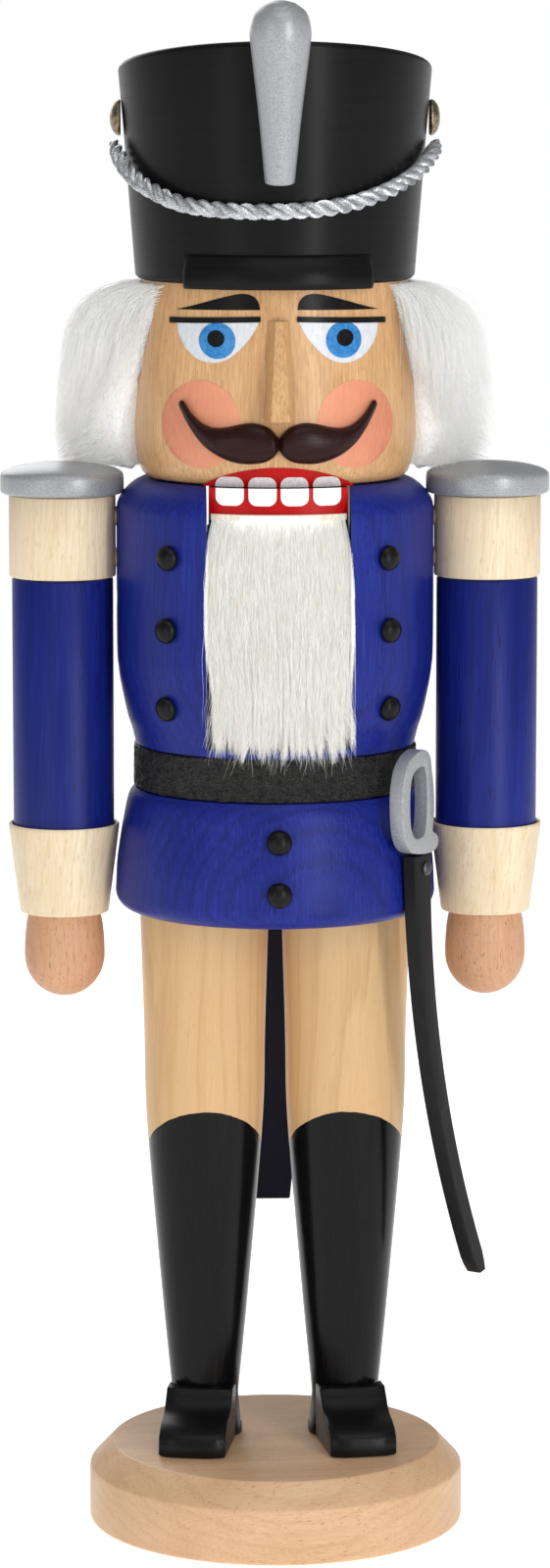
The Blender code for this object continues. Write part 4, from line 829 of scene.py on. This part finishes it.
def patch(outline, radiusAt, lift, thick, step=0.8):
    # a thin coat laid on a round surface, from an outline of (x, z) points in millimetres
    bm = bmesh.new()
    bm.faces.new([bm.verts.new((x * mm, 0, z * mm)) for x, z in outline])
    for k, normal in ((0, (1, 0, 0)), (1, (0, 0, 1))):
        low, high = min(p[k] for p in outline), max(p[k] for p in outline)
        count = int((high - low) / (step * (1 + k)))
        for i in range(1, count):
            cut = (low + (high - low) * i / count) * mm
            bmesh.ops.bisect_plane(bm, geom=bm.verts[:] + bm.edges[:] + bm.faces[:], plane_co=(cut, 0, cut),
                                   plane_no=normal)
    bmesh.ops.triangulate(bm, faces=[f for f in bm.faces if len(f.verts) > 4])
    out = bmesh.ops.extrude_face_region(bm, geom=bm.faces[:])["geom"]
    front = {v for v in out if isinstance(v, bmesh.types.BMVert)}
    for v in bm.verts:
        x, z = v.co.x / mm, v.co.z / mm
        r = radiusAt(z) + lift + (thick if v in front else 0.0)
        v.co.y = axisY - sqrt(max(r * r - x * x, 1.0)) * mm
    bmesh.ops.recalc_face_normals(bm, faces=bm.faces)
    return bm


def ellipse(x, z, wide, high, steps=64):
    return [(x + wide * cos(2 * pi * i / steps), z + high * sin(2 * pi * i / steps)) for i in range(steps)]


def makeFace():
    # brows, lids, eyes, cheeks and lip, painted on
    for side, name in bothSides:
        def coat(label, outline, lift, material, thick=0.07):
            line = [(side * x, z) for x, z in outline]
            piece(label + name.title(), patch(line, headRadius, lift, thick), material, sharp=60)
        brow = smoothLine([(25.2, 314.3), (21.5, 315.3), (17.2, 316.6), (12.5, 317.9), (9.2, 318.5),
                           (6.6, 318.1), (5.1, 316.6), (4.6, 314.6)], 5)
        coat("brow", brow, 0.02, inkBlack, 0.16)
        coat("lid", [(27.0, 310.9), (4.5, 311.6), (4.5, 313.0), (27.0, 312.3)], 0.2, inkBlack,
             0.12)
        white = smoothLine([(25.1, 311.3), (24.7, 308.4), (23.2, 305.2), (20.4, 302.5), (16.8, 301.4),
                            (13.0, 302.2), (9.6, 304.8), (6.6, 308.4), (4.8, 311.9)], 5)
        coat("eye", white, 0.02, eyeWhite, 0.1)
        gaze = (15.2, 306.9) if side < 0 else (16.2, 307.1)
        coat("iris", ellipse(*gaze, 4.5, 4.5), 0.13, irisBlue)
        coat("pupil", ellipse(gaze[0] + 0.35, gaze[1] + 0.5, 2.1, 2.1, 40), 0.21, inkBlack)
        coat("cheek", ellipse(19.2, 286.0, 9.7, 11.0, 90), 0.02, cheekPaint)
    lip = [(-19.0 + 38 * i / 40, neckZ + 0.02 + 5.0 * (1 - (-1 + i / 20) ** 2) ** 0.8) for i in range(41)]
    piece("upperLip", patch(lip, headRadius, 0.05, 0.1), redPaint, sharp=60)


leverSize = {"half": 17.3, "front": 36.2, "jawLow": neckZ - 45.6, "jawBack": 11.0, "seat": neckZ - 12.6,
             "bar": neckZ - 18.6, "barThick": 24.0, "tailThick": 9.0, "taper": 198.0, "endHalf": 5.2,
             "edge": 5.0}
teethSize = {"edges": ((-15.7, -8.7), (-7.6, -0.6), (0.4, 7.4), (8.5, 15.5)), "top": 273.2, "low": 266.2,
             "corner": 2.1}


def toothOutline(left, right, low, high, lower):
    # one half of a tooth, square at the line of the mouth and rounded away from it
    r, end = teethSize["corner"], low if lower else high
    way = 1 if lower else -1
    line = [(right, high if lower else low), (left, high if lower else low)]
    line += [(left + r - r * cos(radians(a)), end + way * (r - r * sin(radians(a)))) for a in range(0, 91, 15)]
    line += [(right - r + r * sin(radians(a)), end + way * (r - r * cos(radians(a))))
             for a in range(0, 91, 15)]
    return line


def makeTeeth():
    for i, (left, right) in enumerate(teethSize["edges"], 1):
        high = toothOutline(left, right, neckZ + 0.02, teethSize["top"], False)
        # the upper halves take the greyer tooth paint: painted shade
        piece(f"toothUpper{i}", patch(high, headRadius, 0.17, 0.22), toothPaintedShade, sharp=60)
        low = toothOutline(left, right, teethSize["low"], neckZ - 0.06, True)
        piece(f"toothLower{i}", patch(low, lambda z: leverSize["front"], 0.17, 0.22), toothWhite, body="jaw",
              sharp=60)


def makeMoustache():
    # two carved lobes with swept-up tips, pinched in the middle
    half, middle = 24.6, neckZ + 12.3
    upper = [(0, 0), (0.05, 1.7), (0.14, 3.2), (0.27, 3.9), (0.4, 3.5), (0.54, 2.7), (0.66, 2.6), (0.77, 3.6),
             (0.88, 6.0), (0.95, 8.6), (0.985, 9.0)]
    lower = [(0, -2.9), (0.05, -4.6), (0.14, -5.9), (0.27, -6.4), (0.4, -6.3), (0.54, -5.4), (0.68, -3.6),
             (0.8, -1.0), (0.91, 2.9), (1.0, 7.3), (1.005, 8.2)]
    edges = [smoothLine([(x * half, middle + z) for x, z in edge], 6) for edge in (upper, lower)]
    columns = list(zip(*edges))
    columns = [((-u[0], u[1]), (-v[0], v[1])) for u, v in reversed(columns[1:])] + columns
    rings = []
    for u, v in columns:
        u, v = Vector(u), Vector(v)
        thick = 3.4 * min(1.0, 0.12 + (u - v).length / 7.5)
        ring = []
        for i in range(18):
            a = 2 * pi * i / 18
            spot = u.lerp(v, 0.5 - 0.5 * cos(a))
            out = max(0.0, sin(a)) ** 0.75 * thick if sin(a) > 0 else 0.35 * sin(a)
            r = headRadius(spot.y) + 0.35 + out
            ring.append((spot.x, midY - sqrt(r * r - spot.x ** 2), spot.y))
        rings.append(ring)
    piece("moustache", lofted(rings), moustachePaint, stands="moustache", sharp=60)


makeHead()
makeNose()
makeFace()
makeTeeth()
makeMoustache()
print("head and face made")

# jaw and lever

def makeLever():
    s, y = leverSize, midY
    tailIn, top, back = y + 42.4, neckZ - 0.15, y - s["front"] + s["jawBack"]
    tailOut, tailLow, barLow = tailIn + s["tailThick"], lowOf("jaw_lever"), s["bar"] - s["barThick"]
    front = y - s["front"]
    outline = [(front, s["jawLow"]), (front, top), (back, top), (back + 1.5, s["seat"]), (y + 4, s["seat"]),
               (y + 11, s["bar"])]
    outline += [(tailOut - s["edge"], s["bar"]), *arc((tailOut - s["edge"], s["bar"] - s["edge"]), s["edge"],
                                                      80, 0, 7)]
    outline += [(tailOut, s["taper"]), (tailOut, tailLow), (tailIn, tailLow), (tailIn, s["taper"]),
                (tailIn, barLow - 4)]
    outline += [(tailIn - 4, barLow), (back + 3, barLow), (back, s["jawLow"])]
    bm = sawn(outline, s["half"], 18)
    for v in bm.verts:
        x, z = v.co.x / mm, v.co.z / mm
        if v.co.y < (front + 0.01) * mm:
            v.co.y = axisY - sqrt(s["front"] ** 2 - x * x) * mm
        if z < s["taper"] - 0.1 and v.co.y > tailIn * mm - 1e-5:
            v.co.x *= s["endHalf"] / s["half"]
    bm = carved(bm, rod(2.8, (-40, y, pinZ), (40, y, pinZ), 40))
    softened(bm, 0.4, 35, 2)
    piece("lever", bm, leverPaint, body="jaw", stands="jaw_lever", sharp=35)


def makeJawPaint():
    # the red of the lower lip, on the front of the jaw
    half = leverSize["half"] - 0.05
    outline = [(-half, neckZ - 7.6), (half, neckZ - 7.6), (half, neckZ - 0.08), (-half, neckZ - 0.08)]
    piece("lowerLip", patch(outline, lambda z: leverSize["front"], 0.04, 0.1), redPaint, body="jaw",
          sharp=60)


makeLever()
makeJawPaint()
print("jaw and lever made")

# hat, visor, plume and nails

hatSize = {"radius": 35.3, "topRadius": 39.5, "height": 53.4, "slant": 9.0, "rim": 1.6, "nailDrop": 13.2}
nailZ = hatLowZ + hatSize["height"] - hatSize["nailDrop"]


def hatRadius(z):
    return hatSize["radius"] + (hatSize["topRadius"] - hatSize["radius"]) * (z - hatLowZ) / hatSize["height"]


def makeHat():
    top, rim = hatLowZ + hatSize["height"], hatSize["topRadius"] - hatSize["rim"]
    profile = [(0, hatLowZ), (hatSize["radius"] - 0.8, hatLowZ), (hatSize["radius"], hatLowZ + 0.8)]
    profile += [(hatRadius(hatLowZ + 1 + 38 * i / 12), hatLowZ + 1 + 38 * i / 12) for i in range(13)]
    profile += [(rim + hatSize["rim"] * cos(radians(a)), top - hatSize["rim"]
                 + hatSize["rim"] * sin(radians(a))) for a in range(0, 91, 10)]
    bm = turned(profile + [(rim - 1.0, top - 0.05), (0, top)], 160)
    for v in bm.verts:
        if v.co.z > (top - 10) * mm:
            v.co.z -= (v.co.y - axisY) * tan(radians(hatSize["slant"]))
    piece("hat", bm, hatPaint, stands="hat", sharp=45)


visorSize = {"half": 40, "out": 3.2, "tall": 8.3}


def makeVisor():
    low, rings = lowOf("hat_visor"), []
    inner = hatRadius(low + 8.6) + 0.1
    for i in range(61):
        angle = visorSize["half"] * (i / 30 - 1)
        fade = min(1.0, 0.25 + min(i, 60 - i) / 3)
        ring = [around(inner, angle, low + visorSize["tall"]), around(inner, angle, low)]
        profile = smoothLine([(0, 0.5), (0.15, 0.78), (0.9, 0.96), (2.4, 1.0), (4.6, 0.86), (6.6, 0.56),
                              (7.9, 0.3), (8.5, 0.08)], 3)
        ring += [around(inner + visorSize["out"] * out * fade, angle, low + z) for z, out in profile]
        rings.append(ring)
    piece("visor", lofted(rings), hatPaint, stands="hat_visor", sharp=40)


plumeSize = {"radius": 7.5, "foot": 3.7, "footOut": 4.5, "topOut": 9.9}


def makePlume():
    low, top = lowOf("plume"), topOf("plume")
    foot = Vector((0, midY - hatRadius(low) - plumeSize["footOut"], low))
    way = Vector((0, midY - hatSize["topRadius"] - plumeSize["topOut"], top)) - foot
    long, r, small = way.length, plumeSize["radius"], plumeSize["foot"]
    body = smoothLine([(small, 0.5), (small * 0.55 + r * 0.45, long * 0.4), (r * 0.96, long * 0.74),
                       (r, long * 0.84), (r * 0.85, long * 0.935), (r * 0.5, long * 0.985)], 7)
    bm = turned([(0, 0), (small - 0.5, 0), (small - 0.12, 0.15), *body, (r * 0.25, long * 0.998), (0, long)],
                64, (0, 0))
    bm.transform(Matrix.Translation(foot * mm) @ way.to_track_quat("Z", "Y").to_matrix().to_4x4())
    piece("plume", bm, silverPaint, stands="plume", sharp=50)


def makeNails():
    for side, name in bothSides:
        seat = Vector((side * (hatRadius(nailZ) + 0.8), midY, nailZ))
        bm = bead(4.6, 2.4, seat, (side, 0, 0), 48, 0.93, 0.35)
        piece("cordNail" + name.title(), bm, bronze, stands="cord_nail_" + name, sharp=50)


# the cord: three strands of fine threads, laid round the front of the hat

cordSize = {"radius": 2.1, "lift": 0.5, "strand": 1.05, "threads": 12, "pitch": 11.5}
cordRoute = [(-86, 6.4), (-78, 9.4), (-66, 13.8), (-52, 17.5), (-35, 20.9), (-12, 22.2), (10, 21.9),
             (25, 20.6),
             (40, 18.0), (58, 13.8), (73, 9.4), (86, 6.4)]  # angle, and drop below the nails


def makeCord():
    points = []
    for angle, drop in smoothLine(cordRoute, 14):
        z = nailZ - drop
        points.append(around(hatRadius(z) + cordSize["radius"] + cordSize["lift"], angle, z) * mm)
    lengths = [0.0]
    for a, b in zip(points, points[1:]):
        lengths.append(lengths[-1] + (b - a).length)
    total = lengths[-1]
    curve = threadCurve("hatCord")
    for strand in range(3):
        for thread in range(cordSize["threads"]):
            spline = curve.splines.new("POLY")
            spline.points.add(len(points) - 1)
            for i, p in enumerate(points):
                along = (points[min(i + 1, len(points) - 1)] - points[max(i - 1, 0)]).normalized()
                out = Vector((p.x, p.y - axisY, 0)).normalized()
                out = (out - along * out.dot(along)).normalized()
                side = along.cross(out)
                thin = 0.62 + 0.38 * min(1.0, min(lengths[i], total - lengths[i]) / 0.006)
                lay = 2 * pi * (strand / 3 + lengths[i] / mm / cordSize["pitch"])
                place = (out * cos(lay) + side * sin(lay)) * cordSize["strand"] * mm * thin
                spin = 2 * pi * (thread / cordSize["threads"]
                                 - lengths[i] / mm / cordSize["pitch"] / 0.8) + strand
                place += (out * cos(spin) + side * sin(spin)) * 0.86 * mm * thin
                spline.points[i].co = (*(p + place), 1.0)
                spline.points[i].radius = 0.27 * thin
    bm = bmesh.new()
    bm.from_mesh(meshOf(curve))
    cord = piece("hatCord", bm, silverCord, stands="hat_cord", sharp=80)


makeHat()
makeVisor()
makePlume()
makeNails()
makeCord()
print("hat, visor, plume, nails and cord made")

# arms

armSize = {"cap": 15.7, "band": 13.5, "sleeve": 12.9, "cuffTop": 14.2, "cuffLow": 11.1, "hand": 10.3}


def makeArm(side, name):
    at, title = (middleOf("shoulder_cap_" + name), None), name.title()
    low, r = topOf("shoulder_band_" + name) + 0.3, armSize["cap"]
    dome = [(r * cos(radians(a)), low + 4.6 + 3.4 * sin(radians(a))) for a in range(82, 9, -8)]
    edge = [(r - 0.05, low + 4.5), (r, low + 4.1), (r, low + 0.8), (r - 0.25, low + 0.25), (r - 0.8, low)]
    piece("shoulderCap" + title, turned([(0, low + 8.0), *dome, *edge, (0, low)], 96, at), silverPaint,
          stands="shoulder_cap_" + name, sharp=50)
    low, high, r = lowOf("shoulder_band_" + name), topOf("shoulder_band_" + name), armSize["band"] + 0.1
    profile = [(0, high), (r - 0.3, high), (r, high - 0.3), (r, low + 0.5), (r - 0.15, low + 0.15),
               (r - 0.5, low), (0, low)]
    piece("shoulderBand" + title, turned(profile, 96, at), mapleWood, stands="shoulder_band_" + name,
          sharp=50)
    sleeveTop, r = low - 0.3, armSize["sleeve"]
    cuffTop, cuffLow = topOf("cuff_" + name), lowOf("cuff_" + name)
    profile = [(0, sleeveTop), (r - 0.4, sleeveTop), (r, sleeveTop - 0.4), (r, cuffTop - 0.7),
               (0, cuffTop - 0.7)]
    piece("sleeve" + title, turned(profile, 96, at), sleevePaint, stands="sleeve_" + name,
          sharp=50)
    rim, high, small = r + 0.3, armSize["cuffTop"], armSize["cuffLow"]
    profile = [(0, cuffTop - 1.0), (rim, cuffTop - 1.0), (rim + 0.12, cuffTop - 0.1), (rim + 0.3, cuffTop),
               (high - 0.25, cuffTop), (high, cuffTop - 0.3), (high - 0.05, cuffTop - 1.2),
               (small + 0.35, cuffLow + 0.5), (small + 0.15, cuffLow + 0.12), (small - 0.3, cuffLow),
               (0, cuffLow)]
    piece("cuff" + title, turned(profile, 96, at), mapleWood, stands="cuff_" + name, sharp=50)
    handTop, handLow, r = cuffLow - 0.3, lowOf("hand_" + name), armSize["hand"]
    middle = handLow + r * 1.05
    egg = smoothLine([(0.05, handLow), *[(r * sin(radians(a)), middle - (middle - handLow) * cos(radians(a)))
                                         for a in range(12, 91, 13)], (r * 0.99, middle + 4.0),
                      (r * 0.955, handTop - 3.0), (r * 0.9, handTop)], 3)
    piece("hand" + title, turned([(0, handLow), *egg, (0, handTop)], 72, at), handWood, stands="hand_" + name,
          sharp=50)


for side, name in bothSides:
    makeArm(side, name)
print("arms made")

# sabre

sabreSize = {
    "angle": 54.5, "back": 41.5, "in": 10.5, "out": 6.6, "thick": 4.1, "long": 113.3, "sweep": 29.5,
             "half": 3.8,
    "tip": 2.5, "nailDrop": 3.7,
    "outline": ((0, 0.51), (0.03, 0.71), (0.12, 0.85), (0.26, 0.94), (0.43, 0.99), (0.58, 1), (0.7, 0.97),
                (0.77, 0.91),
                (0.81, 0.79), (0.855, 0.65), (0.875, 0.5), (0.875, 0.36), (0.852, 0.26), (0.84, 0.21),
                (0.9, 0.185),
                (0.965, 0.158), (1, 0.114), (0.99, 0.066), (0.93, 0.026), (0.81, 0.004), (0.64, 0),
                (0.43, 0.015),
                (0.26, 0.044), (0.12, 0.125), (0.035, 0.265)),
    "hole": ((0.216, 0.53), (0.245, 0.71), (0.33, 0.8), (0.465, 0.836), (0.58, 0.838), (0.63, 0.81),
             (0.667, 0.71),
             (0.69, 0.53), (0.68, 0.36), (0.637, 0.21), (0.58, 0.18), (0.43, 0.165), (0.32, 0.195),
             (0.237, 0.31)),
}


def sabrePoint(s, z, out):
    a = radians(sabreSize["angle"])
    way, across = Vector((sin(a), -cos(a), 0)), Vector((cos(a), sin(a), 0))
    return Vector((0, midY, z)) + way * (sabreSize["back"] + out) + across * s


def makeGuard():
    # a flat loop sawn from a board, with a curl at its lower outer corner
    low, wide = lowOf("sabre_guard"), sabreSize["in"] + sabreSize["out"]
    tall = topOf("sabre_guard") - low

    def ring(shares, out):
        points = [(wide * u - sabreSize["in"], low + tall * v) for u, v in shares]
        line = smoothLine([points[-1], *points, points[0], points[1]], 4)[4:-5]
        return [sabrePoint(s, z, out) for s, z in line]

    bm = lofted([ring(sabreSize["outline"], out) for out in (0, sabreSize["thick"])])
    bm = carved(bm, lofted([ring(sabreSize["hole"], out) for out in (-1, sabreSize["thick"] + 1)]))
    softened(tidied(bm), 0.3, 40, 3)
    piece("sabreGuard", bm, silverPaint, stands="sabre_guard", sharp=40)


def makeScabbard():
    top, rings, steps = topOf("sabre_scabbard"), [], 48
    for i in range(steps + 1):
        t = i / steps
        z, s = top - sabreSize["long"] * t, sabreSize["sweep"] * t * t - 0.3
        lean = 2 * sabreSize["sweep"] * t / sabreSize["long"]
        half = sabreSize["tip"] + (sabreSize["half"] - sabreSize["tip"]) * (1 - t) ** 2
        if i > steps - 3:
            half *= (0.55, 0.85, 1.0)[steps - i]
        ring = []
        for across, out in ((-1, 0.1), (-1, 0.86), (-0.93, 0.95), (-0.8, 1), (0.8, 1), (0.93, 0.95), (1, 0.86),
                            (1, 0.1), (0.9, 0), (-0.9, 0)):
            ring.append(sabrePoint(s + across * half, z + across * half * lean * 0.5,
                                   sabreSize["thick"] * out))
        rings.append(ring)
    piece("sabreScabbard", lofted(rings), scabbardPaint, stands="sabre_scabbard",
          sharp=30)
    a = radians(sabreSize["angle"])
    seat = sabrePoint(0.5, top + 0.3 - sabreSize["nailDrop"], sabreSize["thick"] + 0.3)
    piece("sabreNail", bead(1.8, 1.0, seat, (sin(a), -cos(a), 0), 32, 0.9, 0.25), nailSteel,
          stands="sabre_nail", sharp=50)


makeGuard()
makeScabbard()
print("sabre made")

# fur: a soft body under many fine tapered hairs

rng = np.random.default_rng(7)


def hairs(name, paths, thick, material, body):
    # one tapered four-sided hair along each path of points in millimetres
    curve, count = threadCurve(name), paths.shape[1]
    taper = (1 - np.linspace(0, 1, count) ** 1.6) * 0.85 + 0.15
    ones = np.ones((count, 1))
    for path, size in zip(paths, thick):
        spline = curve.splines.new("POLY")
        spline.points.add(count - 1)
        spline.points.foreach_set("co", np.hstack([path * mm, ones]).ravel())
        spline.points.foreach_set("radius", taper * size)
    mesh = meshOf(curve)
    mesh.name = name
    return placed(name, mesh, material, body, None)


hairSize = {"low": 271.6, "high": 320.2, "out": 17.5, "count": 30000, "start": 56}
beardSize = {"top": neckZ - 6.9, "low": 205.6, "count": 23000, "locks": 66, "back": 36.45, "hideHalf": 16.9}


def makeHair():
    y, steps = midY, 60
    rings = []
    for i in range(steps + 1):
        t = i / steps
        edge = min(1.0, 0.3 + min(t, 1 - t) / 0.09)
        ring = []
        for up, out in ((1.0, 0.0), (0.5, -0.02), (0.06, 0.0), (0.02, 0.35), (0.08, 0.62), (0.25, 0.76),
                        (0.5, 0.76), (0.72, 0.62), (0.88, 0.38), (0.97, 0.16)):
            z = hairSize["low"] + (hairSize["high"] - hairSize["low"]) * up
            first = 90 - 26 * up
            ring.append(around(headRadius(z) + 0.5 + hairSize["out"] * out * edge,
                               first + (360 - 2 * first) * t, z))
        rings.append(ring)
    bm = lofted(rings)
    bmesh.ops.subdivide_edges(bm, edges=bm.edges[:], cuts=1, use_grid_fill=True, smooth=0.6)
    piece("hairBody", bm, whiteFur, stands="hair", sharp=80)
    n = hairSize["count"]
    z0 = rng.uniform(hairSize["low"] + 2, hairSize["high"], n)
    start = hairSize["start"] + 32 * np.clip((hairSize["high"] - z0) / 36, 0, 1)
    spread = rng.uniform(0, 1, n)
    edgeRun = rng.uniform(0, 1, n) < 0.22
    spread = np.where(edgeRun, spread * 0.06 + (spread > 0.5) * 0.94 - 0.03 * (spread > 0.5), spread)
    angle = np.radians(start + (360 - 2 * start) * spread)
    height = (z0 - hairSize["low"]) / (hairSize["high"] - hairSize["low"])
    inward = np.clip(0.35 + np.minimum(spread, 1 - spread) / 0.05, 0.35, 1)
    reach = (hairSize["out"] + 1.2) * rng.uniform(0.72, 1.12, n) * inward
    drop = (1.5 + 17 * height ** 1.2) * rng.uniform(0.75, 1.2, n)
    swing = rng.normal(0, 0.07, n)
    base = np.array([headRadius(z) for z in z0]) - 0.3
    t = np.linspace(0, 1, 6)[None, :]
    out = base[:, None] + reach[:, None] * (1 - (1 - t) ** 1.8)
    wave = rng.normal(0, 0.5, (n, 1)) * np.sin(t * 5 + rng.uniform(0, 6, (n, 1))) * t
    turn = angle[:, None] + swing[:, None] * t + wave * 0.02
    z = z0[:, None] + height[:, None] * 1.5 * np.sin(t * 2.5) - drop[:, None] * t ** 1.7 + wave * 0.5
    z = np.maximum(z, hairSize["low"] - 0.6 - (rng.uniform(0, 1, (n, 1)) < 0.05) * 2.0 * t)
    paths = np.stack([out * np.sin(turn), y - out * np.cos(turn), z], axis=2)
    thick = rng.uniform(0.045, 0.085, n)
    for i in range(5):
        hairs(f"hairStrands{i + 1}", paths[i::5], thick[i::5], whiteFur, "figure")


def makeBeard():
    y, rings = midY, []
    for i in range(25):
        t = i / 24
        z = beardSize["top"] + (beardSize["low"] + 8 - beardSize["top"]) * t
        half = 15.6 + 0.4 * sin(pi * t)
        thick = 0.8 + 1.1 * sin(pi * (0.08 + 0.8 * t))
        ring = []
        for k in range(15):
            x = half * (-1 + 2 * k / 14)
            ring.append((x, y - sqrt(beardSize["back"] ** 2 - x * x), z))
        for k in range(14, -1, -1):
            x = half * (-1 + 2 * k / 14)
            r = beardSize["back"] + thick * (1 - 0.5 * abs(-1 + 2 * k / 14) ** 3)
            ring.append((x, y - sqrt(r * r - x * x), z))
        rings.append(ring)
    parts = [piece("beardBody", lofted(rings), warmFur, body=None, stands="beard", sharp=80)]
    top, half = beardSize["top"], beardSize["hideHalf"]
    edge = [(-half, top - 1.2), (half, top - 1.2), (half, top + 0.35), (-half, top + 0.35)]
    piece("beardHide", patch(edge, lambda z: 36.3, 0.1, 1.0), furSkin, body="jaw", sharp=60)
    # the hairs gather in locks towards their ends
    n, locks = beardSize["count"], beardSize["locks"]
    lockX = np.linspace(-17.4, 17.4, locks) + rng.normal(0, 0.4, locks)
    lockEnd = beardSize["low"] - 1.2 + rng.normal(0, 1.7, locks)
    lockDrift = 0.6 + rng.normal(0, 1.0, locks)
    z0 = top - 54 * rng.uniform(0, 1, n) ** 1.15
    x0 = rng.uniform(-16.4, 16.4, n)
    nearest = ((x0 * 1.07 + 17.6) / 35.2 * (locks - 1) + rng.normal(0, 0.6, n)).round().astype(int)
    which = np.clip(nearest, 0, locks - 1)
    long = rng.uniform(12, 32, n)
    stray = rng.uniform(0, 1, n) < 0.07
    low = lockEnd[which] + np.abs(rng.normal(0, 2.8, n)) - stray * rng.uniform(0, 4.5, n)
    end = np.maximum(z0 - long, low)
    close = np.clip((beardSize["low"] + 26 - end) / 26, 0, 1)
    t = np.linspace(0, 1, 8)[None, :]
    goal = lockX[which] + lockDrift[which] * 0.8 + rng.normal(0, 0.35, n) + stray * rng.normal(0, 2.5, n)
    x = x0[:, None] + ((goal - x0) * close)[:, None] * t ** 1.5 + rng.normal(0, 0.3, (n, 1)) * np.sin(t * 6)
    z = z0[:, None] + (end - z0)[:, None] * t
    limit = 18.6 + 0.6 * np.sin(37 * x0 + 5 * z0)[:, None]
    x = np.clip(x * (1 + 0.13 * np.sin(np.pi * np.clip((top - z) / 46, 0, 1))), -limit, limit)
    puff = rng.uniform(0.5, 4.6, n) * (0.55 + 0.45 * np.clip((top - z0) / 24, 0, 1))
    radius = 36.6 + puff[:, None] * np.sin(np.pi * (0.06 + 0.8 * t)) ** 0.8
    clear = np.interp(np.abs(x), [17.2, 18.0], [37.5, 40.8])  # out of the slot and over the chest
    radius = np.where(np.abs(x) > 17.2, np.maximum(radius, clear), radius)
    radius = np.where(z < beltTop + 3.5, np.maximum(radius, 37.0 + rng.uniform(0, 0.8, (n, 1))), radius)
    paths = np.stack([x, y - np.sqrt(radius ** 2 - x ** 2), z], axis=2)
    thick = rng.uniform(0.034, 0.06, n)
    for i in range(3):
        parts.append(hairs(f"beardStrands{i + 1}", paths[i::3], thick[i::3], warmFur, None))
    for o in parts:
        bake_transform(o)


makeHair()
makeBeard()
print("hair and beard made")

# pieces that stay as the frame has them

carried = {"hat_dowel": beech, "plume_pin": steel, "pivot_pin": steel}
for side, name in bothSides:
    carried.update({"neck_dowel_" + name: beech, "arm_peg_upper_" + name: beech, "arm_peg_lower_" + name: beech,
                    "leg_screw_" + name: steel})
for node, material in carried.items():
    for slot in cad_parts[node].material_slots:
        slot.material = material
